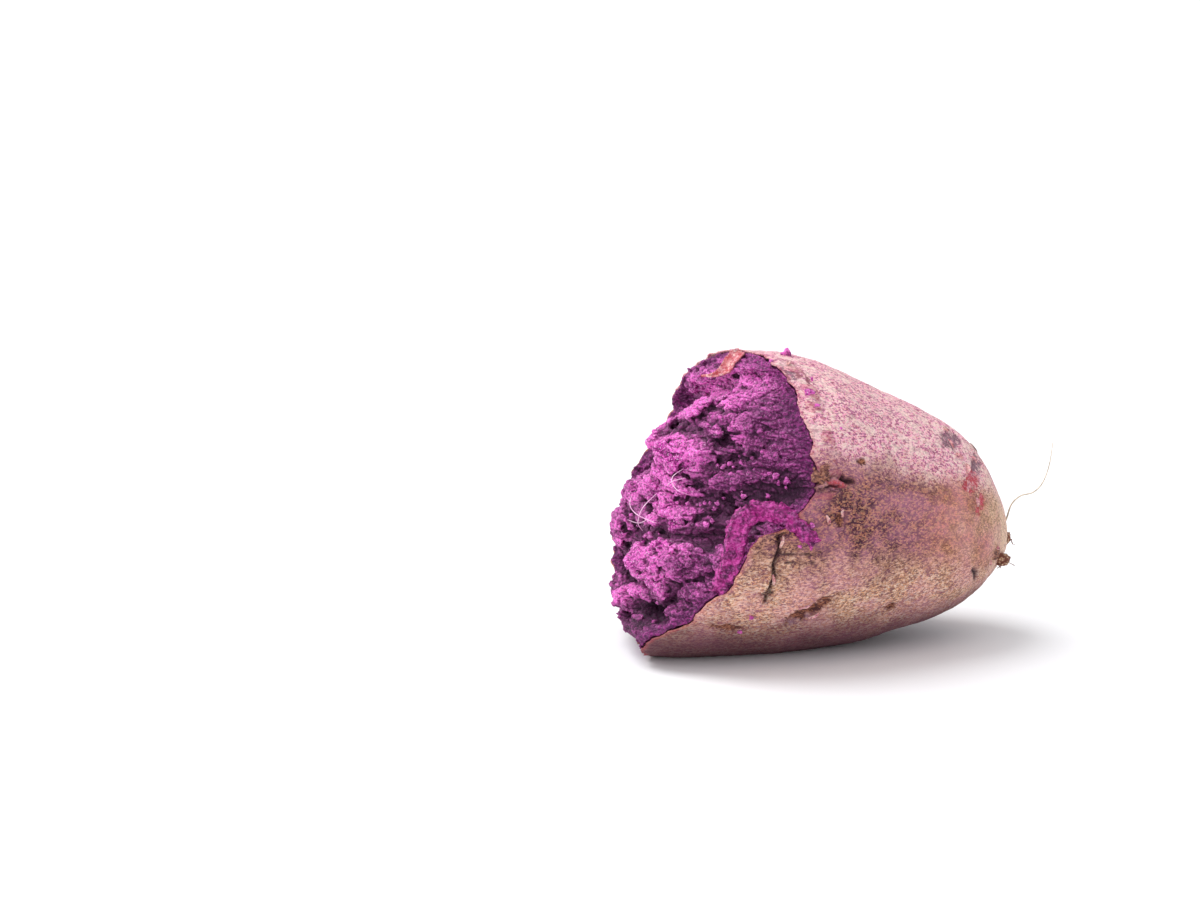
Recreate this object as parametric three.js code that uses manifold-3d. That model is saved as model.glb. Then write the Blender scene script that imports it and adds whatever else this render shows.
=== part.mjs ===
// Half of a cooked purple sweet potato, broken across the middle and lying on its belly.
//
// Millimetres, +Z up. +X runs along the tuber from the break to the root tip. The origin lies
// on the flat patch that the tuber rests on, under its widest part, and z = 0 is the table.
//
// The tuber grew as one piece, so its skin and flesh are one solid. The hair root at the tip is
// a fine separate thread.

import * as THREE from "three";
import Module from "manifold-3d";
import { LoftGeometry } from "three/addons/geometries/LoftGeometry.js";
import { mergeVertices } from "three/addons/utils/BufferGeometryUtils.js";

const wasm = await Module();
wasm.setup();

// ---- Driving dimensions ---------------------------------------------------------------------

const HEIGHT = 64; // belly to back at the widest section
const WIDTH_SHARE = 0.97; // a section is a little narrower than it is tall
const BREAK_START_X = -38; // the loft starts here, and the break cuts it off later

// The back and the belly of the tuber, seen from its side, from the break to the blunt tip.
const BACK = [
  [BREAK_START_X, 60.4],
  [-17, 63.0],
  [0, 63.6],
  [12, 61.2],
  [25, 55.0],
  [36, 49.8],
  [44.5, 44.8],
  [50, 39.6],
  [53.7, 33.6],
  [56.1, 27.6],
  [57.4, 21.2],
];
const BELLY = [
  [BREAK_START_X, 2.0],
  [-18, -0.6],
  [-2, -1.2],
  [11, -1.0],
  [24, 0.6],
  [34, 2.2],
  [42.5, 4.6],
  [48.5, 8.0],
  [52.7, 11.5],
  [55.9, 15.0],
  [57.4, 18.6],
];
const RINGS = 40;
const RING_POINTS = 60;
const SWELL = 0.018; // low bulges that wind round the body, as a share of its radius
const SWELL_LOBES = 3;
const SWELL_TWIST = 5; // radians from the break to the tip
const WRINKLE = 0.35; // lengthwise wrinkles left by cooking, in mm
const WRINKLE_LOBES = 11;

// Scars in the skin: where each lies along the body (0 at the loft's start, 1 at the tip), its
// bearing in degrees (0 far side, 90 back, 180 near side, 270 belly), its radius and its depth.
const SCARS = [
  { along: 0.3, bearing: 172, radius: 4.2, depth: 0.9 },
  { along: 0.52, bearing: 236, radius: 4.0, depth: 1.0 },
  { along: 0.44, bearing: 60, radius: 4.6, depth: 0.9 },
  { along: 0.38, bearing: 330, radius: 3.8, depth: 0.8 },
];

// Where the break runs, as x at even heights from the table to the back: along the near rim,
// the middle and the far rim.
const NEAR_RIM = [-24, -26.5, -17.5, -12.5, -6, 3, 4.8, 3.6, -1];
const MIDDLE = [-24, -29, -27, -27.5, -24.5, -23, -20, -12, -2];
const FAR_RIM = [-24, -28, -27, -25.5, -22, -19.5, -16.5, -12, -3];
const CREST_AT = 0.15; // the middle line's place across the break: -1 near rim, 1 far rim
const NEAR_SLOPE_POWER = 1.85;

// Deep places in the torn face: the hollow below the back and the slit above the belly.
const HOLLOWS = [
  { y: 9, z: 51, widthY: 9, widthZ: 4.5, depth: 7 },
  { y: -8, z: 13, widthY: 12, widthZ: 1.8, depth: 5 },
  { y: -20, z: 38, widthY: 6, widthZ: 3, depth: 3 },
];
// Torn lumps: each wave's length across and up the face, its height and its phase.
const LUMPS = [
  { y: 15, z: 11, height: 1.1, phase: 0.4 },
  { y: -9, z: 7.5, height: 0.8, phase: 1.9 },
  { y: 5.5, z: -6.2, height: 0.5, phase: 4.1 },
];
const LUMP_SWIRL = { reach: 2.6, across: 6.5, up: 5.2 }; // bends the waves out of straight rows
const BREAK_CELLS = 50; // cells across and up the torn face

const STUB = { radius: 1.7, endRadius: 0.9, length: 1.6, droop: 0.5 }; // woody root end

const ROOTLET_RADIUS = 0.2;
const ROOTLET_SIDES = 8;
const ROOTLET_STEPS = 34;
// The hair root stands off the tip's upper edge, then turns up.
const ROOTLET_PATH = [
  [57.6, -1.6, 24.4],
  [58.6, -1.8, 27.6],
  [60.6, -1.9, 29.4],
  [63.6, -1.9, 30.1],
  [65.8, -1.8, 32.2],
  [67.3, -1.6, 36.2],
  [68.0, -1.4, 41.2],
];

// ---- Booleans -------------------------------------------------------------------------------

function solidOf(geometry) {
  const bare = new THREE.BufferGeometry()
    .setAttribute("position", geometry.getAttribute("position"))
    .setIndex(geometry.index);
  const merged = mergeVertices(bare, 1e-4);
  return new wasm.Manifold(
    new wasm.Mesh({
      numProp: 3,
      vertProperties: new Float32Array(merged.attributes.position.array),
      triVerts: new Uint32Array(merged.index.array),
    }),
  );
}

function geometryOf(solid) {
  const mesh = solid.getMesh();
  const geometry = new THREE.BufferGeometry()
    .setAttribute("position", new THREE.BufferAttribute(mesh.vertProperties, 3))
    .setIndex(new THREE.BufferAttribute(mesh.triVerts, 1));
  geometry.computeVertexNormals();
  return geometry;
}

// ---- The whole body -------------------------------------------------------------------------

const splineThrough = (points) =>
  new THREE.SplineCurve(points.map(([x, z]) => new THREE.Vector2(x, z)));
const backLine = splineThrough(BACK);
const bellyLine = splineThrough(BELLY);

// A point on the body: along runs 0 to 1 to the tip, and angle 0 faces +Y and a quarter turn +Z.
function bodyPoint(along, angle) {
  const back = backLine.getPoint(along);
  const belly = bellyLine.getPoint(along);
  const middle = back.clone().add(belly).multiplyScalar(0.5);
  const arm = back.clone().sub(belly).multiplyScalar(0.5);
  const radius = arm.length();
  const firmness = Math.min(1, radius / 20); // the relief fades out at the narrow tip
  const swell = SWELL * Math.sin(SWELL_LOBES * angle + SWELL_TWIST * along + 0.4);
  const wrinkle = (WRINKLE / radius) * Math.sin(WRINKLE_LOBES * angle + 9 * along);
  const share = 1 + firmness * (swell + wrinkle);
  const point = new THREE.Vector3(
    middle.x + arm.x * Math.sin(angle) * share,
    WIDTH_SHARE * radius * Math.cos(angle) * share,
    middle.y + arm.y * Math.sin(angle) * share,
  );
  return pressScars(point, new THREE.Vector3(middle.x, 0, middle.y));
}

function scarCentre({ along, bearing }) {
  const angle = THREE.MathUtils.degToRad(bearing);
  const back = backLine.getPoint(along);
  const belly = bellyLine.getPoint(along);
  const radius = back.distanceTo(belly) / 2;
  return new THREE.Vector3(
    (back.x + belly.x) / 2,
    WIDTH_SHARE * radius * Math.cos(angle),
    (back.y + belly.y) / 2 + radius * Math.sin(angle),
  );
}

function pressScars(point, axisPoint) {
  const inward = axisPoint.sub(point).normalize();
  const depth = SCARS.reduce((sum, scar) => {
    const away = point.distanceTo(scarCentre(scar)) / scar.radius;
    return sum + scar.depth * Math.exp(-away * away);
  }, 0);
  return point.addScaledVector(inward, depth);
}

function wholeBody() {
  const sections = [];
  for (let i = 0; i <= RINGS; i++) {
    const section = [];
    for (let j = 0; j < RING_POINTS; j++)
      section.push(bodyPoint(i / RINGS, (2 * Math.PI * j) / RING_POINTS));
    sections.push(section);
  }
  return solidOf(new LoftGeometry(sections, { capStart: true, capEnd: true }));
}

// The woody end of the root that the tuber hung on.
function rootStub() {
  const tip = backLine.getPoint(1).add(bellyLine.getPoint(1)).multiplyScalar(0.5);
  const profile = [
    new THREE.Vector2(0, -STUB.length),
    new THREE.Vector2(STUB.radius, -STUB.length),
    new THREE.Vector2(STUB.radius * 0.8, 0),
    new THREE.Vector2(STUB.endRadius, STUB.length * 0.8),
    new THREE.Vector2(0, STUB.length),
  ];
  const stub = new THREE.LatheGeometry(profile, 14);
  stub.rotateZ(-Math.PI / 2);
  stub.translate(tip.x, 0, tip.y - STUB.droop);
  return solidOf(stub);
}

// ---- The break ------------------------------------------------------------------------------

const rimLine = (places) =>
  new THREE.SplineCurve(places.map((x, i) => new THREE.Vector2(i, x)));
const nearLine = rimLine(NEAR_RIM);
const middleLine = rimLine(MIDDLE);
const farLine = rimLine(FAR_RIM);

// x of the torn face at a place across (y) and up (z).
function breakX(y, z) {
  const up = THREE.MathUtils.clamp(z / HEIGHT, 0, 1);
  const halfHeight = HEIGHT / 2;
  const level = THREE.MathUtils.clamp((z - halfHeight) / halfHeight, -0.96, 0.96);
  const halfWidth = WIDTH_SHARE * halfHeight * Math.sqrt(1 - level * level);
  const across = THREE.MathUtils.clamp(y / halfWidth, -1.15, 1.15);
  const middle = middleLine.getPoint(up).y;
  let x;
  if (across < CREST_AT) {
    const share = (CREST_AT - across) / (1 + CREST_AT);
    x = middle + (nearLine.getPoint(up).y - middle) * share ** NEAR_SLOPE_POWER;
  } else {
    const share = THREE.MathUtils.smoothstep((across - CREST_AT) / (1 - CREST_AT), 0, 1);
    x = middle + (farLine.getPoint(up).y - middle) * share;
  }
  for (const hollow of HOLLOWS) {
    const away = ((y - hollow.y) / hollow.widthY) ** 2 + ((z - hollow.z) / hollow.widthZ) ** 2;
    x += hollow.depth * Math.exp(-away);
  }
  const bentY = y + LUMP_SWIRL.reach * Math.sin(z / LUMP_SWIRL.across);
  const bentZ = z + LUMP_SWIRL.reach * Math.sin(y / LUMP_SWIRL.up + 1);
  for (const lump of LUMPS)
    x += lump.height * Math.sin(2 * Math.PI * (bentY / lump.y + bentZ / lump.z) + lump.phase);
  return x;
}

// Everything on the broken-off side: a box whose +X face is the torn surface.
function brokenOffSide() {
  const size = HEIGHT * 1.12;
  const box = new THREE.BoxGeometry(2, size, size, 1, BREAK_CELLS, BREAK_CELLS);
  const places = box.attributes.position;
  for (let i = 0; i < places.count; i++) {
    const y = places.getY(i);
    const z = places.getZ(i) + HEIGHT / 2;
    const x = places.getX(i) > 0 ? breakX(y, z) : BREAK_START_X - 20;
    places.setXYZ(i, x, y, z);
  }
  return solidOf(box);
}

// ---- The parts ------------------------------------------------------------------------------

function tuberHalf() {
  const table = new THREE.BoxGeometry(300, 200, 40);
  table.translate(0, 0, -20);
  const body = wholeBody()
    .add(rootStub())
    .subtract(brokenOffSide())
    .subtract(solidOf(table));
  const material = new THREE.MeshStandardMaterial({
    color: 0xb98a78,
    roughness: 0.72,
    metalness: 0,
  });
  const mesh = new THREE.Mesh(geometryOf(body), material);
  mesh.name = "tuber_half";
  return mesh;
}

function rootlet() {
  const section = new THREE.Shape();
  for (let i = 0; i < ROOTLET_SIDES; i++) {
    const angle = (2 * Math.PI * i) / ROOTLET_SIDES;
    const x = ROOTLET_RADIUS * Math.cos(angle);
    const y = ROOTLET_RADIUS * Math.sin(angle);
    if (i === 0) section.moveTo(x, y);
    else section.lineTo(x, y);
  }
  const path = new THREE.CatmullRomCurve3(ROOTLET_PATH.map((p) => new THREE.Vector3(...p)));
  const thread = new THREE.ExtrudeGeometry(section, {
    steps: ROOTLET_STEPS,
    bevelEnabled: false,
    extrudePath: path,
  });
  const material = new THREE.MeshStandardMaterial({
    color: 0x9a9678,
    roughness: 0.8,
    metalness: 0,
  });
  const mesh = new THREE.Mesh(thread, material);
  mesh.name = "rootlet";
  return mesh;
}

const sweetPotatoHalf = new THREE.Group();
sweetPotatoHalf.add(tuberHalf(), rootlet());

export default sweetPotatoHalf;
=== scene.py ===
"""Half of a cooked purple sweet potato, broken across the middle and lying on its belly.

The skin is one bent sheet with a torn edge, and the flesh is a torn face built of lumps. Shapes
are worked out in millimetres, with +X from the break to the root tip and z = 0 on the table, and
each finished mesh is scaled to metres. A bearing is an angle round the body: 0 is the far side
(+Y), 90 the back (+Z), 180 the near side (-Y) and 270 the belly.
"""

import itertools
import math

import bmesh
import bpy
import numpy as np
from bpy.props import FloatProperty, FloatVectorProperty, IntProperty, PointerProperty
from mathutils import Matrix, Vector


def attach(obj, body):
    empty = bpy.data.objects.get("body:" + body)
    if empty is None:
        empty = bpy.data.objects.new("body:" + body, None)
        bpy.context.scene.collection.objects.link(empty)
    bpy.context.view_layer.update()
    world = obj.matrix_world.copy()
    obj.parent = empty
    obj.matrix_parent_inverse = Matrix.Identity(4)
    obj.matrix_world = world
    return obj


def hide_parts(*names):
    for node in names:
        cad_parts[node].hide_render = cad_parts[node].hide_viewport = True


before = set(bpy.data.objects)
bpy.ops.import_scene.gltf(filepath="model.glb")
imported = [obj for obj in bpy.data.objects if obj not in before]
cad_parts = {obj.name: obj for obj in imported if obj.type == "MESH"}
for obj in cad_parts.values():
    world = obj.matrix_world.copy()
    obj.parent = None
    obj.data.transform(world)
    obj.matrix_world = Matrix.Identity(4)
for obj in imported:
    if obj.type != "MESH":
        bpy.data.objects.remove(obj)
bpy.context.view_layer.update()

bl_info = {
    "name": "Broken Sweet Potato",
    "version": (1, 0, 0),
    "blender": (4, 5, 0),
    "location": "View3D > Sidebar > Sweet Potato",
    "description": "Models half of a cooked purple sweet potato with torn flesh and scarred skin",
    "category": "Add Mesh",
}

BODY = "root"
TUBER_NODE = "tuber_half"
ROOTLET_NODE = "rootlet"
MM = 0.001


# ---- Settings a user would change ------------------------------------------------------------


def srgb(red, green, blue):
    """A screen colour, 0 to 255, as the linear colour that Blender works in."""
    shares = (value / 255 for value in (red, green, blue))
    return tuple(s / 12.92 if s <= 0.04045 else ((s + 0.055) / 1.055) ** 2.4 for s in shares)


def colour(name, description, screen_colour):
    return FloatVectorProperty(
        name=name,
        description=description,
        default=srgb(*screen_colour),
        subtype="COLOR",
        size=3,
        min=0.0,
        max=1.0,
    )


def millimetres(name, description, default):
    """A length property, in metres as Blender keeps it, from a default in millimetres."""
    return FloatProperty(
        name=name, description=description, default=default * MM, min=0.0, unit="LENGTH", precision=5
    )


def angle(name, description, degrees):
    return FloatProperty(
        name=name, description=description, default=math.radians(degrees), subtype="ANGLE"
    )


def whole(name, description, default, least=0):
    return IntProperty(name=name, description=description, default=default, min=least)


class PotatoShape(bpy.types.PropertyGroup):
    skin_thickness: millimetres("Skin thickness", "Thickness of the peel at its torn edge", 0.35)
    skin_lift: millimetres("Skin lift", "How far the torn edge stands off the flesh", 0.25)
    skin_rows: whole("Skin rows", "Faces from the torn edge to the tip", 205, 20)
    skin_columns: whole("Skin columns", "Faces round the body", 430, 40)
    voxel: millimetres("Flesh grain", "Cell size of the torn flesh's mesh", 0.24)
    seed: whole("Seed", "Picks another set of lumps on the torn face", 7, 6)


class SkinColours(bpy.types.PropertyGroup):
    back: colour("Back", "Dusty pink of the back", (255, 168, 202))
    back_fleck: colour("Back fleck", "Darker pink grain on the back", (132, 46, 92))
    cream: colour("Cream", "Pale dusty patches and grain", (255, 236, 220))
    # Also the painted shade low on the belly beside the table.
    side: colour("Side", "Dusky purple-brown of the side", (88, 36, 60))
    side_fleck: colour("Side fleck", "Tan and orange grain on the side", (222, 146, 106))
    belly: colour("Belly", "Golden tan of the belly", (242, 184, 138))
    belly_fleck: colour("Belly fleck", "Purple-grey grain on the belly", (104, 56, 80))
    tip: colour("Tip", "Smooth beige at the root end", (255, 222, 182))
    bare: colour("Bare layer", "Grey-mauve layer where the outer skin came off", (150, 112, 126))
    red: colour("Red layer", "Raw red-pink layer beside a scar", (204, 82, 90))
    rust: colour("Rust", "Brown corky scars", (118, 66, 52))
    # Also the painted shade in the cracks, besides the darkest grain and smudges.
    crack: colour("Crack", "Bottom of the cracks", (44, 16, 34))
    fibre: colour("Rootlet", "Dry rootlet", (214, 198, 176))
    fibre_shade: colour("Rootlet shade", "Darker stretches of the rootlet", (150, 134, 112))


class FleshColours(bpy.types.PropertyGroup):
    flesh: colour("Flesh", "Magenta of the torn flesh", (184, 26, 150))
    # Also the painted highlight on the raised crumbs.
    light: colour("Light flesh", "Pink of the raised crumbs", (246, 116, 210))
    # Also the painted shade in the small hollows and on the shaded flesh.
    deep: colour("Deep flesh", "Purple in the hollows", (88, 7, 72))
    # The painted shade in the deepest hollows of the face; dark flecks on the strip.
    darkest: colour("Darkest flesh", "Bottom of the deepest cracks", (38, 4, 34))
    under_skin: colour("Under the skin", "Grey-purple band beside the peel", (76, 20, 70))
    # Painted glints on the raised flesh.
    painted_glint: colour("Frost", "Palest grains of the raised flesh", (255, 216, 246))
    strip: colour("Strip", "Moist magenta strip along the peel", (180, 24, 134))
    fibre: colour("Fibre", "Pale threads that hang out of the break", (250, 214, 236))
    fibre_shade: colour("Fibre shade", "Pinker stretches of the threads", (236, 150, 212))


class StudioSettings(bpy.types.PropertyGroup):
    azimuth: angle("Azimuth", "Camera bearing", -14)
    elevation: angle("Elevation", "Camera height angle", 11)
    distance: millimetres("Distance", "From the camera to the tuber", 610)
    aim_left: millimetres("Aim left", "How far left of the tuber the camera aims", 32.3)
    aim_up: millimetres("Aim up", "How far above the table the camera aims", 38.8)
    lens: FloatProperty(name="Lens", description="Focal length", default=85, unit="CAMERA")
    floor: colour("Floor", "White table", (240, 240, 242))


# ---- Noise -----------------------------------------------------------------------------------

CORNERS = np.array(list(itertools.product((0, 1), repeat=3)))
NEIGHBOURS = np.array(list(itertools.product((-1, 0, 1), repeat=3)))


def mixed_bits(cells, seed):
    """A well mixed 32-bit number for each whole-number place."""
    x, y, z = (cells[..., i].astype(np.uint64) for i in range(3))
    bits = x * np.uint64(73856093) ^ y * np.uint64(19349663) ^ z * np.uint64(83492791)
    bits = (bits ^ np.uint64(seed * 2654435761)) & np.uint64(0xFFFFFFFF)
    for shift, factor in ((15, 0x2C1B3C6D), (12, 0x297A2D39)):
        bits = (bits ^ (bits >> np.uint64(shift))) * np.uint64(factor) & np.uint64(0xFFFFFFFF)
    return bits ^ (bits >> np.uint64(15))


def three_shares(bits):
    """Three numbers from 0 to 1 out of each 32-bit number."""
    return np.stack([(bits >> np.uint64(s)) & np.uint64(1023) for s in (0, 10, 20)], -1) / 1023.0


def cloud(places, size, seed=0):
    """Smooth noise from about -1 to 1 whose features are about size across."""
    scaled = np.asarray(places, float) / size
    cells = np.floor(scaled).astype(np.int64)
    part = scaled - cells
    ease = part**3 * (part * (part * 6 - 15) + 10)
    total = np.zeros(scaled.shape[:-1])
    for corner in CORNERS:
        slope = three_shares(mixed_bits(cells + corner, seed)) * 2 - 1
        weight = np.where(corner, ease, 1 - ease).prod(-1)
        total += weight * (slope * (part - corner)).sum(-1)
    return total * 1.5


def grains(places, size, seed=0):
    """How far, in cells, the nearest and the second nearest of scattered points lie."""
    scaled = np.asarray(places, float) / size
    cells = np.floor(scaled).astype(np.int64)
    nearest = np.full(scaled.shape[:-1], 9.0)
    second = nearest.copy()
    for neighbour in NEIGHBOURS:
        cell = cells + neighbour
        away = np.linalg.norm(cell + three_shares(mixed_bits(cell, seed)) - scaled, axis=-1)
        second = np.minimum(second, np.maximum(nearest, away))
        nearest = np.minimum(nearest, away)
    return nearest, second


def smooth_step(value, low, high):
    """0 at low and 1 at high, with an even curve between; low may be the larger number."""
    share = np.clip((np.asarray(value, float) - low) / (high - low), 0, 1)
    return share * share * (3 - 2 * share)


def unit_rows(rows):
    return rows / np.linalg.norm(rows, axis=-1, keepdims=True)


# ---- The body's outline, as the solid has it ---------------------------------------------------

# The back and the belly seen from the side, as x and z from the break to the tip.
BACK = np.array([
    (-38, 60.4), (-17, 63.0), (0, 63.6), (12, 61.2), (25, 55.0), (36, 49.8),
    (44.5, 44.8), (50, 39.6), (53.7, 33.6), (56.1, 27.6), (57.4, 21.2),
])
BELLY = np.array([
    (-38, 2.0), (-18, -0.6), (-2, -1.2), (11, -1.0), (24, 0.6), (34, 2.2),
    (42.5, 4.6), (48.5, 8.0), (52.7, 11.5), (55.9, 15.0), (57.4, 18.6),
])
HEIGHT = 64.0
AXIS_Z = 31.6  # height of the middle of the torn face
FACE_RADIUS = 31.4
SKIN_RADIUS = 31.8  # of the body beside the torn edge
WIDTH_SHARE = 0.97  # the body's width as a share of its height
SWELL = 0.018  # how far three low ridges stand out, as a share of the radius


def spline(points, share):
    """A Catmull-Rom curve through points, at shares from 0 to 1 of the way along the list."""
    points = np.asarray(points, float)
    place = np.clip(share, 0, 1) * (len(points) - 1)
    index = np.minimum(np.floor(place).astype(int), len(points) - 2)
    part = (place - index)[..., None] if points.ndim > 1 else place - index
    before, after = points[np.maximum(index - 1, 0)], points[np.minimum(index + 2, len(points) - 1)]
    start, end = points[index], points[index + 1]
    leave, arrive = (end - before) / 2, (after - start) / 2
    cubic = (2 * start - 2 * end + leave + arrive) * part**3
    return cubic + (3 * end - 3 * start - 2 * leave - arrive) * part**2 + leave * part + start


def swell(along, turn):
    """How much further out than an even round the body's surface lies, as a share."""
    return SWELL * np.sin(3 * turn + 5 * along + 0.4)


def body_point(along, bearing, grow=0.0):
    """A point of the whole tuber's surface, grown outwards by a few millimetres."""
    along, turn = np.broadcast_arrays(np.asarray(along, float), np.radians(bearing))
    back, belly = spline(BACK, along), spline(BELLY, along)
    middle, arm = (back + belly) / 2, (back - belly) / 2
    radius = np.maximum(np.linalg.norm(arm, axis=-1), 0.01)
    share = 1 + np.minimum(1, radius / 20) * swell(along, turn) + grow / radius
    return np.stack([
        middle[..., 0] + arm[..., 0] * np.sin(turn) * share,
        WIDTH_SHARE * radius * np.cos(turn) * share,
        middle[..., 1] + arm[..., 1] * np.sin(turn) * share,
    ], -1)


def body_middle(x):
    """How far along the body x is, and the middle height and the radius of the body there."""
    along = np.interp(x, BACK[:, 0], np.linspace(0, 1, len(BACK)))
    back, belly = spline(BACK, along)[:, 1], spline(BELLY, along)[:, 1]
    return along, (back + belly) / 2, (back - belly) / 2


def body_radius_share(places):
    """0 at the middle of the tuber and 1 at its skin."""
    _, middle, radius = body_middle(places[:, 0])
    return np.hypot(places[:, 1] / WIDTH_SHARE, places[:, 2] - middle) / radius


def face_radius_share(y, z):
    """0 at the middle of the torn face and 1 at its rim."""
    return np.hypot(y / WIDTH_SHARE, z - AXIS_Z) / FACE_RADIUS


# ---- Where the break runs ----------------------------------------------------------------------

# x of the torn face at even heights from the table to the back.
NEAR_RIM = np.array([-24, -26.5, -17.5, -12.5, -6, 3, 4.8, 3.6, -1.0])
MIDDLE = np.array([-24, -28, -26, -26.0, -23.5, -22.5, -19.5, -11.5, -2.0])
FAR_RIM = np.array([-24, -26.5, -26, -23.5, -18.5, -13.0, -9.5, -7.5, -2.5])
CREST_AT = 0.15  # the middle line's place across the break: -1 near rim, 1 far rim
NEAR_SLOPE_POWER = 1.85
SLAB_TILT = 0.236  # slope of the top of the low slab at the foot of the face

# Hollows (depth over 0) and bulges of the torn face: y, z, reach in y, reach in z, depth.
RELIEF = (
    (-7, 58.5, 5, 2.2, 3.5),
    (1, 55.5, 6, 2.4, 6.5),
    (8, 52, 6, 2.8, 8.0),
    (15, 48, 6, 3.2, 7.0),
    (5, 7.2, 8, 0.9, 6.5),
    (-9, 10.4, 8, 1.15, 8.5),
    (-19, 27.5, 7, 1.9, 7.0),
    (-11, 34.0, 7, 1.4, 3.0),
    (6, 24.0, 7, 2.0, 3.0),
    (16, 38.0, 8, 2.2, 3.5),
    (-25, 38.0, 6, 4.2, 5.0),
    (-16, 41.5, 7, 1.3, 2.5),
    (14, 14.0, 8, 1.8, 3.5),
    (-9, 22.0, 8, 7.5, -3.4),
    (12, 58.0, 9, 4.5, -3.0),
    (-9, 47.0, 9, 6.0, -2.5),
    (15, 29.0, 7, 6.0, -2.0),
    (13, 45.0, 7, 4.0, -1.8),
    (-8, 6.0, 13, 2.6, -2.8),
)

# The peel's torn edge, as bearing and x.
PEEL_EDGE = np.array([
    (0, -18.0), (10, -15.0), (20, -10.5), (28, -10.0), (35, -10.6), (45, -9.3), (60, -7.4),
    (75, -5.0), (88, -2.4), (98, -0.6), (101, 0.3),
    (111, 1.1), (118, 3.1), (125, 3.3), (132, 3.5), (139, 3.9), (145, 4.8), (152, 4.9),
    (157, 5.3), (163, 4.8), (170, 2.2), (176, 0.7), (180, -2.8), (182, -7.8), (188, -9.9),
    (197, -12.3), (204, -13.4), (206, -15.9), (209, -17.0), (215, -18.5), (221, -20.2),
    (226, -24.2), (234, -28.0), (245, -27), (260, -24), (275, -23.5), (290, -24.5), (315, -25),
    (340, -23.0), (360, -18.0),
])


def face_x(y, z):
    """x of the torn face, before its lumps."""
    up = np.clip(z / HEIGHT, 0, 1)
    level = np.clip((z - HEIGHT / 2) / (HEIGHT / 2), -0.96, 0.96)
    half_width = WIDTH_SHARE * HEIGHT / 2 * np.sqrt(1 - level * level)
    across = np.clip(y / half_width, -1.15, 1.15)
    middle = spline(MIDDLE, up)
    near_share = np.clip((CREST_AT - across) / (1 + CREST_AT), 0, 1) ** NEAR_SLOPE_POWER
    far_share = smooth_step(across, CREST_AT, 1)
    near, far = spline(NEAR_RIM, up) - middle, spline(FAR_RIM, up) - middle
    x = middle + near * near_share + far * far_share
    for row in RELIEF:
        x = x + dent(y, z, *row)
    return x


def dent(y, z, centre_y, centre_z, reach_y, reach_z, depth=1.0):
    """A round-bottomed hollow of the torn face, deepest at its centre."""
    return depth * np.exp(-(((y - centre_y) / reach_y) ** 2) - ((z - centre_z) / reach_z) ** 2)


def hollow_share(y, z):
    """1 in the bottom of the face's hollows, where few lumps lie, and 0 outside them."""
    depths = [dent(y, z, *row) for row in RELIEF if row[-1] > 0]
    return smooth_step(np.max(depths, axis=0), 1.0, 2.2)


def slab_height(y, z):
    """A height that is the same, about 8, all along the tilted top of the low slab."""
    return z + SLAB_TILT * y


def smoothness(y, z):
    """1 where the torn flesh is fine: by the peel on the near upper side, and on the low slab."""
    by_peel = smooth_step(-y, 12, 22) * smooth_step(z, 36, 42) * (1 - smooth_step(z, 55, 60) * 0.5)
    slab = (1 - smooth_step(slab_height(y, z), 6.6, 9.0)) * smooth_step(-y, -12, -2)
    return np.maximum(by_peel, slab)


def rough_face_x(y, z):
    """x of the torn face with its broad flakes and its lengthwise fibres."""
    flat = np.stack([y, z, np.zeros_like(y)], -1)
    flat = flat + 1.6 * np.stack([cloud(flat, 8, 8), cloud(flat, 8, 9), np.zeros_like(y)], -1)
    near, second = grains(flat * np.array([0.55, 1, 1]) + np.array([0, 0.3, 0]), 6.5, 10)
    flake = (0.55 - near) * 4.2 + 2.6 * smooth_step(second - near, 0.0, 0.22)
    small_near, small_second = grains(flat * np.array([0.6, 1, 1]), 2.9, 14)
    small = (0.5 - small_near) * 1.6 + 0.8 * smooth_step(small_second - small_near, 0.0, 0.25)
    fibres = np.stack([y * 0.2, z, np.full_like(y, 9.0)], -1)
    out = face_radius_share(y, z)
    rough = (1 - 0.85 * smoothness(y, z)) * (1 - 0.5 * smooth_step(out, 0.76, 0.98))
    rough = rough * (1 - 0.75 * hollow_share(y, z))
    lumps = 1.4 * cloud(flat, 12, 3) - (flake + small) * rough + 4.4 * rough + 0.6
    strands = 0.75 * cloud(fibres, 2.2, 6) + 0.5 * cloud(fibres, 1.0, 7)
    return face_x(y, z) + lumps + strands


def peel_edge_x(bearing):
    """x of the peel's torn edge, with its teeth."""
    turn = np.radians(bearing)
    ring = np.stack([31 * np.cos(turn), 31 * np.sin(turn), np.zeros_like(turn)], -1)
    teeth = 0.9 * cloud(ring, 5, 11) + 0.75 * cloud(ring, 2.2, 12) + 0.45 * cloud(ring, 0.9, 13)
    return np.interp(np.mod(bearing, 360), PEEL_EDGE[:, 0], PEEL_EDGE[:, 1]) + teeth


ALONG_TABLE = np.linspace(0, 0.5, 401)


def along_at_x(x, bearing):
    """How far along the body its surface reaches x, at each bearing."""
    found = np.empty(len(bearing))
    for index, (place, turn) in enumerate(zip(x, bearing)):
        found[index] = np.interp(place, body_point(ALONG_TABLE, turn)[:, 0], ALONG_TABLE)
    return found


# Distance along the body's back, to space the rows evenly.
FINE_ALONG = np.linspace(0, 1, 801)
BACK_LENGTH = np.concatenate([
    [0], np.cumsum(np.linalg.norm(np.diff(body_point(FINE_ALONG, 90), axis=0), axis=1))
])


# ---- Mesh helpers ------------------------------------------------------------------------------


def set_places(verts, places):
    for vert, place in zip(verts, places):
        vert.co = place


def get_places(verts):
    return np.array([v.co for v in verts], float)


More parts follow.
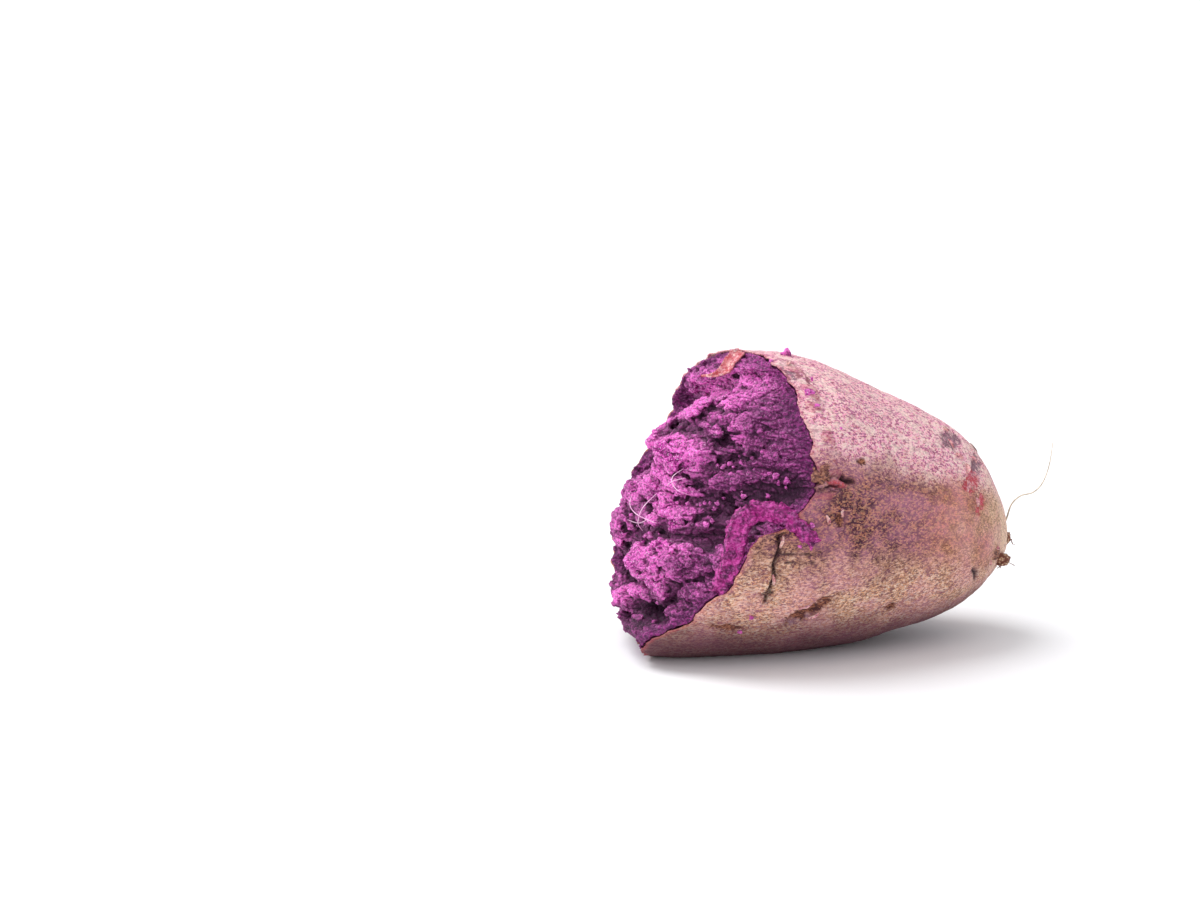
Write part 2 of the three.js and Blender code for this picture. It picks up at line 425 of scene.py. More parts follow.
def mesh_arrays(mesh):
    places = np.empty(len(mesh.vertices) * 3, np.float32)
    normals = np.empty(len(mesh.vertices) * 3, np.float32)
    mesh.vertices.foreach_get("co", places)
    mesh.vertex_normals.foreach_get("vector", normals)
    return places.reshape(-1, 3).astype(float), normals.reshape(-1, 3).astype(float)


def mesh_edges(mesh):
    edges = np.empty(len(mesh.edges) * 2, np.int32)
    mesh.edges.foreach_get("vertices", edges)
    return edges.reshape(-1, 2)


def put_mesh_places(mesh, places):
    mesh.vertices.foreach_set("co", np.asarray(places, np.float32).ravel())
    mesh.update()


def write_value(mesh, name, values):
    made = mesh.attributes.new(name, "FLOAT", "POINT")
    made.data.foreach_set("value", np.asarray(values, np.float32))


def write_layer(bm, name, values):
    layer = bm.verts.layers.float.get(name) or bm.verts.layers.float.new(name)
    for vert, value in zip(bm.verts, values):
        vert[layer] = value


def extruded_ring(bm, ring):
    """The edges and the vertices of a new ring, joined to the given one by faces."""
    made = bmesh.ops.extrude_edge_only(bm, edges=ring)["geom"]
    edges = [g for g in made if isinstance(g, bmesh.types.BMEdge) and g.is_boundary]
    return edges, [g for g in made if isinstance(g, bmesh.types.BMVert)]


def middle_of(verts):
    return sum((v.co for v in verts), Vector()) / len(verts)


def linked_object(name, data):
    made = bpy.data.objects.new(name, data)
    bpy.context.scene.collection.objects.link(made)
    return made


def new_piece(name, source, material, node):
    """Makes a finished piece, in metres, out of a bmesh or a mesh in millimetres."""
    mesh = new_mesh(name, source) if isinstance(source, bmesh.types.BMesh) else source
    mesh.name = name
    mesh.transform(Matrix.Scale(MM, 4))
    mesh.polygons.foreach_set("use_smooth", [True] * len(mesh.polygons))
    mesh.materials.clear()
    mesh.materials.append(material)
    piece = linked_object(name, mesh)
    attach(piece, BODY)
    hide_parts(node)


def new_mesh(name, bm):
    mesh = bpy.data.meshes.new(name)
    bm.to_mesh(mesh)
    bm.free()
    return mesh


def applied_mesh(thing):
    """The mesh of an object with its modifiers applied. The object and its old mesh go."""
    graph = bpy.context.evaluated_depsgraph_get()
    made = bpy.data.meshes.new_from_object(thing.evaluated_get(graph), depsgraph=graph)
    old = thing.data
    bpy.data.objects.remove(thing)
    bpy.data.meshes.remove(old)
    return made


def voxel_union(bm, voxel):
    """One closed skin round everything in bm, with the small loose bits dropped."""
    lumps = linked_object("lumps", new_mesh("lumps", bm))
    remesh = lumps.modifiers.new("remesh", "REMESH")
    remesh.mode = "VOXEL"
    remesh.voxel_size = voxel
    return keep_largest(applied_mesh(lumps))


def keep_largest(mesh):
    """Drops every loose part of a mesh but the largest."""
    edges = mesh_edges(mesh)
    label = np.arange(len(mesh.vertices))
    while True:
        low = np.minimum(label[edges[:, 0]], label[edges[:, 1]])
        fresh = label.copy()
        np.minimum.at(fresh, edges[:, 0], low)
        np.minimum.at(fresh, edges[:, 1], low)
        fresh = fresh[fresh]
        if (fresh == label).all():
            break
        label = fresh
    values, sizes = np.unique(label, return_counts=True)
    if len(values) > 1:
        loose = set(np.nonzero(label != values[sizes.argmax()])[0].tolist())
        bm = bmesh.new()
        bm.from_mesh(mesh)
        bm.verts.ensure_lookup_table()
        bmesh.ops.delete(bm, geom=[bm.verts[i] for i in loose], context="VERTS")
        bm.to_mesh(mesh)
        bm.free()
    return mesh


def neighbour_average(places, edges, rounds):
    """Each vertex's place after its neighbours have been averaged in, some times over."""
    count = np.zeros(len(places))
    np.add.at(count, edges.ravel(), 1)
    smoothed = places.copy()
    for _ in range(rounds):
        total = np.zeros_like(smoothed)
        for axis, (end, other) in itertools.product(range(3), ((0, 1), (1, 0))):
            total[:, axis] += np.bincount(edges[:, end], smoothed[edges[:, other], axis], len(places))
        smoothed = (smoothed + total) / (count + 1)[:, None]
    return smoothed


def hollowness(mesh, rounds):
    """How far each vertex lies below the smoothed surface, in millimetres: over 0 in a hollow."""
    places, normals = mesh_arrays(mesh)
    smoothed = neighbour_average(places, mesh_edges(mesh), rounds)
    return ((smoothed - places) * normals).sum(1)


# ---- Peel --------------------------------------------------------------------------------------

# Cracks in the peel: half width, depth and the height of the lip, all in mm, and the points
# as along and bearing.
CRACKS = (
    (0.36, 1.2, 0.35, (
        (0.182, 182), (0.186, 187), (0.179, 193), (0.182, 199), (0.177, 204), (0.174, 209),
    )),
    (0.5, 1.7, 0.45, (
        (0.222, 167), (0.238, 163.5), (0.252, 160.5), (0.268, 159), (0.284, 158.8),
        (0.298, 160.8), (0.312, 160.2),
    )),
    (0.26, 0.7, 0.5, ((0.24, 165.5), (0.254, 164.6), (0.268, 163.2), (0.28, 163.6))),
    (0.16, 0.3, 0.03, ((0.186, 189), (0.215, 189.5), (0.252, 188.5))),
    (0.13, 0.2, 0.03, ((0.196, 192.5), (0.225, 193), (0.24, 192.5))),
    (0.5, 0.5, 0.2, ((0.6, 200), (0.62, 204), (0.625, 208))),
    (0.4, 0.6, 0.2, ((0.45, 20), (0.49, 26), (0.54, 28))),
    (0.45, 0.7, 0.3, ((0.22, 305), (0.27, 312), (0.31, 311))),
)

# Patches where the peel is scarred: along, bearing, reach along and round in mm, turn in degrees,
# how deep it is pressed in, in mm, and what shows there.
PATCHES = (
    (0.280, 162.2, 2.4, 1.1, 8, 0.15, "red"),
    (0.231, 116, 3.0, 3.8, 30, 0.35, "bare"),
    (0.252, 213.5, 6.0, 1.7, -38, 0.45, "rust"),
    (0.238, 217, 4.2, 1.4, -36, 0.4, "bare"),
    (0.398, 217, 1.8, 1.1, 10, 0.6, "rust"),
    (0.284, 176, 0.9, 1.9, -20, 0.5, "rust"),
    (0.560, 119, 5.0, 2.6, -40, 0.35, "bare"),
    (0.640, 128, 3.4, 1.7, -60, 0.3, "bare"),
    (0.590, 147, 4.2, 1.9, -55, 0.3, "red"),
    (0.625, 158, 3.2, 1.2, -70, 0.3, "red"),
    (0.330, 152, 1.2, 0.7, 0, 0.2, "rust"),
    (0.674, 101, 1.4, 0.9, 40, -0.3, "rust"),
    (0.135, 222, 3.6, 0.9, 10, 0.3, "rust"),
    (0.300, 60, 6.5, 3.6, 25, 0.5, "bare"),
    (0.430, 20, 4.6, 2.0, -30, 0.4, "red"),
    (0.250, 350, 3.5, 2.2, 15, 0.6, "rust"),
    (0.520, 330, 4.0, 2.0, 30, 0.5, "rust"),
    (0.350, 290, 5.0, 2.0, -20, 0.3, "bare"),
    (0.700, 60, 3.0, 1.6, 20, 0.35, "bare"),
    (0.740, 195, 2.0, 1.4, 0, -0.5, "rust"),
)
OFF_PATCH = 12  # a place more than this many mm off a patch's plane doesn't belong to it


def peel_sheet(shape):
    """The outer sheet of the peel as a bmesh grid bent round the body, and its torn edge."""
    columns = shape.skin_columns
    bearings = np.linspace(0, 360, columns + 1)
    start = along_at_x(peel_edge_x(bearings), bearings)
    start_length = np.interp(start, FINE_ALONG, BACK_LENGTH)
    bm = bmesh.new()
    bmesh.ops.create_grid(bm, x_segments=shape.skin_rows, y_segments=columns, size=0.5)
    shares = np.array([v.co[:2] for v in bm.verts]) + 0.5
    column = np.rint(shares[:, 1] * columns).astype(int)
    length = start_length[column] + (BACK_LENGTH[-1] - start_length[column]) * shares[:, 0]
    along = np.interp(length, BACK_LENGTH, FINE_ALONG)
    set_places(bm.verts, body_point(along, bearings[column]))
    write_layer(bm, "along", along)
    write_layer(bm, "bearing", np.mod(bearings[column], 360))
    write_layer(bm, "edge", length - start_length[column])
    bmesh.ops.remove_doubles(bm, verts=bm.verts, dist=0.004)
    bmesh.ops.recalc_face_normals(bm, faces=bm.faces)
    return bm


def near_path(places, path):
    """Distance from each place to a path over the body, in millimetres."""
    corners = body_point(*np.array(path, float).T)
    nearest = np.full(len(places), 1e9)
    for start, end in zip(corners[:-1], corners[1:]):
        reach = end - start
        share = np.clip(((places - start) @ reach) / (reach @ reach), 0, 1)
        nearest = np.minimum(nearest, np.linalg.norm(places - start - share[:, None] * reach, axis=1))
    return nearest


def patch_share(places, along, bearing, reach_along, reach_round, turn):
    """1 inside a scarred patch, falling to 0 past its ragged border."""
    centre = body_point(along, bearing)
    lengthwise = unit_rows(body_point(along + 0.01, bearing) - body_point(along - 0.01, bearing))
    roundwise = unit_rows(body_point(along, bearing + 1) - body_point(along, bearing - 1))
    turn = math.radians(turn)
    first = lengthwise * math.cos(turn) + roundwise * math.sin(turn)
    other = roundwise * math.cos(turn) - lengthwise * math.sin(turn)
    away = places - centre
    reach = np.hypot((away @ first) / reach_along, (away @ other) / reach_round)
    elsewhere = np.abs(away @ np.cross(first, other)) > OFF_PATCH
    ragged = reach + 0.55 * cloud(places, 2.2, 21) + 0.3 * cloud(places, 0.8, 22)
    return np.where(elsewhere, 0, 1 - smooth_step(ragged, 0.75, 0.98))


def peel_relief(places, along, bearing, edge, shape):
    """Height of the peel's relief in millimetres, and its colour masks."""
    stretched = places * np.array([0.22, 1, 1])
    side = smooth_step(bearing, 148, 165) * (1 - smooth_step(bearing, 186, 204))
    height = 0.45 * cloud(places, 14, 31) + 0.22 * cloud(places, 6, 32)
    height += 0.10 * cloud(stretched, 2.4, 33) + 0.07 * cloud(places, 1.7, 34)
    height += 0.045 * cloud(places, 0.8, 35)
    creases = 1 - np.abs(cloud(places * np.array([0.55, 1, 1]), 3.4, 36)) * 3.2
    height -= 0.16 * np.clip(creases, 0, 1) ** 2 * (0.35 + 0.65 * side)
    pits, _ = grains(places, 2.7, 37)
    height -= 0.14 * (1 - smooth_step(pits, 0.06, 0.2))
    masks = {name: np.zeros(len(places)) for name in ("bare", "red", "rust", "crack")}
    wander = 1 + 0.5 * cloud(places, 1.5, 41)
    for half_width, depth, lip, path in CRACKS:
        away = near_path(places, path) / (half_width * wander)
        height += lip * np.exp(-((away - 1.9) ** 2)) - depth * np.exp(-(away**2))
        # The crack mask paints the grooves near black: painted shade in the cracks.
        masks["crack"] = np.maximum(masks["crack"], np.exp(-((away * 0.85) ** 2)))
    for *where, depth, shows in PATCHES:
        share = patch_share(places, *where)
        height -= depth * share
        masks[shows] = np.maximum(masks[shows], share)
    lift = np.exp(-((edge / 2.6) ** 2))
    height += shape.skin_lift / MM * lift * (0.7 + 0.9 * cloud(places, 3.5, 42))
    tip = smooth_step(along, 0.93, 1.0)
    return height * (1 - 0.7 * tip), masks


def zone_masks(places, along, bearing):
    """How far each place belongs to the pink back, the dusky side and the pale tip, how warm it is, and
    its painted shade low beside the table.
    """
    wander = 12 * cloud(places, 17, 51) + 7 * cloud(places, 7, 52) + 3 * cloud(places, 2.5, 53)
    round_back = bearing + wander
    back = smooth_step(round_back, 14, 52) * (1 - smooth_step(round_back + 26 * along, 150, 178))
    side = smooth_step(round_back, 140, 162) * (1 - smooth_step(round_back, 186, 214))
    side = side * smooth_step(along + 0.006 * wander, 0.10, 0.22)
    far_side = smooth_step(round_back, 300, 330) * 0.75 + (1 - smooth_step(round_back, 10, 40)) * 0.75
    side = np.maximum(side, far_side * smooth_step(along, 0.1, 0.25) * (bearing > 270))
    side = np.maximum(side, (1 - smooth_step(round_back, 8, 38)) * 0.7 * (bearing < 90))
    tip = smooth_step(along + 0.010 * wander + 0.04 * cloud(places, 4, 54), 0.60, 0.92)
    warm = smooth_step(along + 0.004 * wander, 0.40, 0.56)
    # Painted shade on the lowest band of the peel, beside the table.
    painted_low_shade = 1 - smooth_step(places[:, 2] + 0.3 * wander, 2, 16)
    return {"back": back, "side": side * (1 - 0.85 * tip), "tip": tip, "warm": warm, "painted_low_shade": painted_low_shade}


# Steps behind the torn edge: how far in past the peel's thickness, and how far towards the tip.
BEHIND_EDGE = ((0.0, 0.12), (0.1, 2.2), (0.5, 5.0))
PEEL_CLOSES_AT = Vector((14, 0, 31))
# Steps of the cap on the tip: its size as a share of the one before, and how far on it lies.
TIP_CAP = ((0.8, 0.5), (0.3, 0.9))


def close_peel(bm, shape, rim, outward):
    """Gives the torn edge its thickness, and closes the sheet behind it inside the flesh.

    outward holds, for each vertex of the torn edge, its place and the way out from the body.
    """
    start_layer = bm.verts.layers.int["start"]
    for past_thickness, onward in BEHIND_EDGE:
        rim, verts = extruded_ring(bm, rim)
        for vert in verts:
            place, radial = outward[vert[start_layer]]
            inward = shape.skin_thickness / MM + past_thickness
            vert.co = place - radial * inward + Vector((onward, 0, 0))
    _, verts = extruded_ring(bm, rim)
    bmesh.ops.pointmerge(bm, verts=verts, merge_co=PEEL_CLOSES_AT)


def close_tip(bm, ring):
    """A small domed cap over the root end."""
    for grow, onward in TIP_CAP:
        ring, verts = extruded_ring(bm, ring)
        centre = middle_of(verts)
        for vert in verts:
            vert.co = centre + (vert.co - centre) * grow + Vector((onward, 0, 0))
    bmesh.ops.pointmerge(bm, verts=verts, merge_co=middle_of(verts))


def make_peel(shape, material):
    bm = peel_sheet(shape)
    bm.normal_update()
    places = get_places(bm.verts)
    normals = np.array([v.normal for v in bm.verts])
    layers = (bm.verts.layers.float[name] for name in ("along", "bearing", "edge"))
    along, bearing, edge = (np.array([v[layer] for v in bm.verts]) for layer in layers)
    height, masks = peel_relief(places, along, bearing, edge, shape)
    masks.update(zone_masks(places, along, bearing))
    places = places + normals * height[:, None]
    places[:, 2] = np.maximum(places[:, 2], 0)
    set_places(bm.verts, places)
    for name, values in masks.items():
        write_layer(bm, name, values)
    start_layer = bm.verts.layers.int.new("start")
    outward = {}
    for index, vert in enumerate(bm.verts):
        vert[start_layer] = index
        if vert.is_boundary and edge[index] < 1:
            radial = Vector((0, vert.co.y, vert.co.z - HEIGHT / 2)).normalized()
            outward[index] = (vert.co.copy(), radial)
    open_edges = [e for e in bm.edges if e.is_boundary]
    rim = [e for e in open_edges if all(v[start_layer] in outward for v in e.verts)]
    close_tip(bm, [e for e in open_edges if e not in rim])
    close_peel(bm, shape, rim, outward)
    bmesh.ops.recalc_face_normals(bm, faces=bm.faces)
    new_piece("peel", bm, material, TUBER_NODE)


# ---- Flesh -------------------------------------------------------------------------------------

OVERLAP = 1.0  # how far each quarter of the flesh runs into its neighbours
SPLIT_Z = 33.0  # height of the border between the low and the high quarters
SPOKES_MEET_Z = 31.5
RINGS, SPOKES = 120, 360
BACK_RINGS = (0.95, 0.66, 0.33)  # where the rings behind the face lie, as shares of the way out
STANDS_PROUD = 0.3  # how far the flesh stands out past the peel's torn edge
FLESH_BEHIND = 4.5  # how far the flesh runs on behind its torn face
MOST_TRIANGLES = 190000  # in one piece of flesh
UNDER_PEEL = 0.3  # how far the flesh's side lies below the peel's outer face
RIM_BLEND = 0.93  # from this share of the way out, the face runs to the peel's edge


def flesh_point(out, rim, behind=0.0):
    """A point of the torn face: out runs from its middle (0) to the peel's edge (1)."""
    y = rim[..., 1] * out
    z = SPOKES_MEET_Z + (rim[..., 2] - SPOKES_MEET_Z) * out
    to_rim = smooth_step(out, RIM_BLEND, 1.0)
    rim_x = rim[..., 0] - STANDS_PROUD * (1 - behind / FLESH_BEHIND)
    return np.stack([rough_face_x(y, z) * (1 - to_rim) + rim_x * to_rim + behind, y, z], -1)


def flesh_base(side, level):
    """A quarter of the torn face as one side of a closed solid.

    side is -1 for the near quarters and 1 for the far, and level is -1 for the low ones and 1
    for the high. Each quarter runs on a little past its neighbours' borders.
    """
    bearings = np.linspace(0, 360, SPOKES + 1)
    edge_x = peel_edge_x(bearings)
    rim = body_point(along_at_x(edge_x, bearings), bearings, -UNDER_PEEL)
    rim[:, 0] = edge_x
    rim[:, 2] = np.maximum(rim[:, 2], UNDER_PEEL)
    bm = bmesh.new()
    bmesh.ops.create_grid(bm, x_segments=RINGS, y_segments=SPOKES, size=0.5)
    shares = np.array([v.co[:2] for v in bm.verts]) + 0.5
    spoke = np.rint(shares[:, 1] * SPOKES).astype(int)
    set_places(bm.verts, flesh_point(shares[:, 0], rim[spoke]))
    layer = bm.verts.layers.int.new("spoke")
    for vert, index in zip(bm.verts, spoke):
        vert[layer] = int(index) % SPOKES
    bmesh.ops.remove_doubles(bm, verts=bm.verts, dist=1e-4)
    ring = [e for e in bm.edges if e.is_boundary]
    for out in BACK_RINGS:
        ring, verts = extruded_ring(bm, ring)
        index = np.array([v[layer] for v in verts])
        set_places(verts, flesh_point(np.full(len(verts), out), rim[index], FLESH_BEHIND))
    bmesh.ops.pointmerge(bm, verts=verts, merge_co=middle_of(verts))
    bmesh.ops.recalc_face_normals(bm, faces=bm.faces)
    cut_off(bm, (0, -OVERLAP * side, 0), (0, -side, 0))
    cut_off(bm, (0, 0, SPLIT_Z - OVERLAP * level), (0, 0, -level))
    return bm


def cut_off(bm, place, away):
    """Cuts off what lies on the far side of a plane through place, and closes the cut."""
    parts = [*bm.verts, *bm.edges, *bm.faces]
    cut = bmesh.ops.bisect_plane(bm, geom=parts, plane_co=place, plane_no=away, clear_outer=True)
    border = [g for g in cut["geom_cut"] if isinstance(g, bmesh.types.BMEdge)]
    bmesh.ops.holes_fill(bm, edges=border, sides=0)


FACE_STEP = 0.5  # how far to each side the torn face's slope is measured


def face_directions(y, z, sway):
    """Outward normals of the torn face, and two directions in it, the first along the fibres."""
    slope_y = (face_x(y + FACE_STEP, z) - face_x(y - FACE_STEP, z)) / (2 * FACE_STEP)
    slope_z = (face_x(y, z + FACE_STEP) - face_x(y, z - FACE_STEP)) / (2 * FACE_STEP)
    normal = unit_rows(np.stack([-np.ones_like(y), slope_y, slope_z], -1))
    fibre = np.stack([slope_y, np.ones_like(y), sway], -1)
    fibre = unit_rows(fibre - normal * (fibre * normal).sum(-1, keepdims=True))
    return np.stack([normal, fibre, np.cross(normal, fibre)], 1)


def lump_copies(count, detail):
    """One mesh of many round lumps, all in the same place until they are moved."""
    bm = bmesh.new()
    bmesh.ops.create_icosphere(bm, subdivisions=detail, radius=1.0)
    lump = linked_object("lump", new_mesh("lump", bm))
    copies = lump.modifiers.new("copies", "ARRAY")
    copies.count = count
    copies.use_relative_offset = False
    return applied_mesh(lump)


def add_lumps(bm, centres, directions, radii, detail, seed, ragged=1.0):
    """Adds rough lumps to bm, each with its own radii along its own three directions."""
    mesh = lump_copies(len(centres), detail)
    unit = mesh_arrays(mesh)[0].reshape(len(centres), -1, 3)
    shift = np.arange(len(centres))[:, None, None] * 3.7 + seed
    rough = 0.42 * cloud(unit + shift, 0.95, 61) + 0.22 * cloud(unit + shift, 0.45, 62)
    rough = np.maximum(0.25, 1 + ragged * rough)
    local = unit * rough[..., None] * radii[:, None, :]
    put_mesh_places(mesh, (centres[:, None, :] + local @ directions).reshape(-1, 3))
    bm.from_mesh(mesh)
    bpy.data.meshes.remove(mesh)


# Sizes of lumps, from the coarse to the fine: how many in each quarter, the radius range, how long
# they are compared with their width, how far they stand out, in radii, and their detail.
LUMP_SIZES = (
    (30, (1.8, 3.2), 2.2, -0.45, 3),
    (230, (0.7, 1.5), 2.8, -0.05, 2),
    (1500, (0.28, 0.6), 1.8, 0.3, 2),
)
LUMPS_MIDDLE_Z = 32.0
LUMPS_WITHIN = 30.6  # lumps are centred no further than this, less 1.3 radii, from the middle


def make_flesh(name, side, level, shape, material):
    bm = flesh_base(side, level)
    random = np.random.default_rng(shape.seed + side + 5 * level)
    for number, (count, reach, length, stand, detail) in enumerate(LUMP_SIZES):
        radius = random.uniform(*reach, count)
        out = np.sqrt(random.uniform(0, 1, count))
        turn = random.uniform(0, math.pi / 2, count)
        limit = LUMPS_WITHIN - 1.3 * radius
        y = side * limit * WIDTH_SHARE * out * np.sin(turn)
        z = LUMPS_MIDDLE_Z + level * limit * out * np.cos(turn)
        kept = random.uniform(0, 1, count) > np.maximum(0.92 * smoothness(y, z), hollow_share(y, z))
        y, z, radius = y[kept], z[kept], radius[kept]
        directions = face_directions(y, z, random.uniform(-0.4, 0.4, len(y)))
        centres = np.stack([rough_face_x(y, z), y, z], -1)
        centres = centres + directions[:, 0] * (stand * radius)[:, None]
        shares = random.uniform((0.75, 1, 0.7), (1, length, 1), (len(y), 3))
        add_lumps(bm, centres, directions, radius[:, None] * shares, detail, 100 * number)
    finish_flesh(name, voxel_union(bm, shape.voxel / MM), material)


def finish_flesh(name, mesh, material):
    """Grains and fibres on the remeshed flesh, and the masks that colour it, with its painted shade and
    highlights.
    """
    places, normals = mesh_arrays(mesh)
    fibres = places * np.array([0.4, 0.5, 1])
    nearest, _ = grains(places * np.array([0.7, 0.7, 1]), 0.75, 71)
    height = 0.26 * (0.5 - nearest) + 0.18 * cloud(fibres, 0.8, 72) + 0.2 * cloud(places, 0.45, 73)
    ridges = np.abs(cloud(places * np.array([0.4, 0.22, 1]), 1.5, 74))
    height -= 0.34 * (1 - smooth_step(ridges, 0, 0.16))
    inside = 1 - smooth_step(places[:, 0] - rough_face_x(places[:, 1], places[:, 2]), 1.5, 3.0)
    places = under_peel(places + normals * (height * inside)[:, None])
    places[:, 2] = np.maximum(places[:, 2], 0.05)
    put_mesh_places(mesh, places)
    # fine and broad tell how far the flesh lies below its smoothed surface, and depth how far behind the
    # torn face; the material paints shade in the sunk places and highlights on the raised ones.
    fine, broad = hollowness(mesh, 4), hollowness(mesh, 45)
    depth = places[:, 0] - face_x(places[:, 1], places[:, 2])
    rim = body_radius_share(places)
    write_value(mesh, "fine", np.clip(0.5 + fine * 2.6, 0, 1))
    write_value(mesh, "broad", np.clip(0.5 + broad * 0.55, 0, 1))
    hollow = hollow_share(places[:, 1], places[:, 2]) * smooth_step(rim, 1.02, 0.9)
    hollow = hollow * (1 - 0.8 * smooth_step(places[:, 2], 42, 48))
    # The low slab is coloured as dark as a deep hollow.
    slab = smooth_step(slab_height(places[:, 1], places[:, 2]), 9.0, 6.6)
    hollow = np.maximum(hollow, 0.75 * slab)
    write_value(mesh, "depth", np.clip(0.5 + depth / 8 + 0.3 * hollow, 0, 1))
    write_value(mesh, "rim", rim)
    write_value(mesh, "shade", flesh_shade(places, rim))
    new_piece(name, thinned(mesh, MOST_TRIANGLES), material, TUBER_NODE)


def thinned(mesh, most):
    """The mesh with its flattest faces merged until no more than most triangles are left."""
    mesh.calc_loop_triangles()
    thick = linked_object("thick", mesh)
    fewer = thick.modifiers.new("fewer", "DECIMATE")
    fewer.ratio = min(1.0, most / len(mesh.loop_triangles))
    return applied_mesh(thick)


def under_peel(places):
    """Draws flesh that is behind the peel's torn edge in, until it lies under the peel."""
    along, middle, radius = body_middle(places[:, 0])
    turn = np.arctan2((places[:, 2] - middle) / radius, places[:, 1] / WIDTH_SHARE / radius)
    behind = smooth_step(places[:, 0] - peel_edge_x(np.degrees(turn)), -0.1, 0.7)
    most = 1 + swell(along, turn) - (0.1 + 0.9 * behind) / radius
    pull = np.minimum(1, most / np.maximum(body_radius_share(places), 0.01))
    drawn = places.copy()
    drawn[:, 1] *= pull
    drawn[:, 2] = middle + (places[:, 2] - middle) * pull
    return drawn


def flesh_shade(places, rim):
    """How dark the flesh is painted, from 0 to 1: painted shade on the near upper side beside the peel,
    in the hollow below it and low on the near side, less under a painted pool of light high on the left,
    and darker towards the rim, on the low slab, the crown and the far side.
    """
    _, y, z = places.T
    patchy = 0.5 * cloud(places, 9, 81) + 0.35 * cloud(places, 3.5, 82)
    patchy = patchy + 0.2 * cloud(places, 1.4, 83)
    # Painted shade on the near upper side beside the peel, which faces away from the light.
    dome = smooth_step(-y + 6 * patchy, 9, 19) * smooth_step(z + 5 * patchy, 31, 38)
    # Painted shade in the hollow below it and low on the near side.
    cavity_shade = dent(y, z, -21, 36, 9, 6, 1.2)
    low = smooth_step(-y + 8 * patchy, 12, 19) * (1 - smooth_step(z, 24, 30)) * 0.9
    slab = 1.3 * smooth_step(slab_height(y, z) + 2 * patchy, 12, 8)
    crown = smooth_step(z + 6 * patchy, 50, 58) * 0.35
    side = smooth_step(rim + 0.12 * patchy, 0.72, 0.92) * (0.55 + 0.35 * smooth_step(y, 2, 12))
    far = smooth_step(y + 5 * patchy, 7, 19) * 0.6
    total = np.max([dome, cavity_shade, low, slab, crown, side, far], axis=0)
    # The dent taken off is a painted pool of light high on the left of the face.
    return np.clip(total + 0.35 * patchy - 0.5 * dent(y, z, -4, 46, 9, 8), 0, 1)


# ---- Small pieces ------------------------------------------------------------------------------


def bent_grid(rows, columns, place):
    """A grid of faces bent to place(row share, column share), merged where its sides meet."""
    bm = bmesh.new()
    bmesh.ops.create_grid(bm, x_segments=rows, y_segments=columns, size=0.5)
    shares = get_places(bm.verts)[:, :2] + 0.5
    set_places(bm.verts, place(shares[:, 0], shares[:, 1]))
    bmesh.ops.remove_doubles(bm, verts=bm.verts, dist=0.0005)
    bmesh.ops.recalc_face_normals(bm, faces=bm.faces)
    return bm


def heading_at(points, along):
    """Which way a smooth path runs; the tiny addition keeps it from coming out as nothing."""
    return unit_rows(spline(points, along + 0.01) - spline(points, along - 0.01) + 1e-9)


def thread(points, widths, rows, columns):
    """A closed round thread along a smooth path, with its radius given at even steps."""
    points = np.array(points, float)
    steps = np.linspace(0, 1, len(widths))

    def place(along, around):
        centre = spline(points, along)
        heading = heading_at(points, along)
        side = unit_rows(np.cross(heading, (0.31, 0.17, 0.93)))
        other = np.cross(heading, side)
        closed = np.where((along < 0.001) | (along > 0.999), 0, 1)
        radius = (np.interp(along, steps, widths) * closed)[:, None]
        turn = 2 * math.pi * around[:, None]
        return centre + radius * (side * np.cos(turn) + other * np.sin(turn))

    return bent_grid(rows, columns, place)


def ribbon(points, widths, outward, thickness, curl, seed, rows, columns):
    """A torn strip along a smooth path, with ragged sides and a thickness."""
    points = np.array(points, float)
    steps = np.linspace(0, 1, len(widths))

    def place(along, across):
        centre = spline(points, along)
        heading = heading_at(points, along)
        side = unit_rows(np.cross(heading, outward))
        lift = np.cross(side, heading)
        ragged = 1 + 0.32 * cloud(centre + side * np.sign(across - 0.5)[:, None] * 9, 1.6, seed)
        reach = np.interp(along, steps, widths) * ragged * (across - 0.5)
        rise = curl * (2 * across - 1) ** 2 + 0.35 * cloud(centre + side * reach[:, None], 2.2, seed + 1)
        return centre + side * reach[:, None] + lift * rise[:, None]

    bm = bent_grid(rows, columns, place)
    bmesh.ops.solidify(bm, geom=bm.faces[:], thickness=thickness)
    bmesh.ops.recalc_face_normals(bm, faces=bm.faces)
    return bm


def joined(parts):
    """One bmesh of several, in order."""
    whole = bmesh.new()
    for part in parts:
        mesh = new_mesh("part", part)
        whole.from_mesh(mesh)
        bpy.data.meshes.remove(mesh)
    return whole


def flesh_masks(mesh, shade):
    """Gives a small flesh piece the same masks as the torn face."""
    places, _ = mesh_arrays(mesh)
    write_value(mesh, "fine", 0.36 + 0.2 * cloud(places, 0.7, 91))
    for name, value in (("broad", 0.5), ("depth", 0.5), ("rim", 0.0)):
        write_value(mesh, name, np.full(len(places), value))
    write_value(mesh, "shade", np.clip(shade + 0.3 * cloud(places, 2.0, 92), 0, 1))
    return mesh


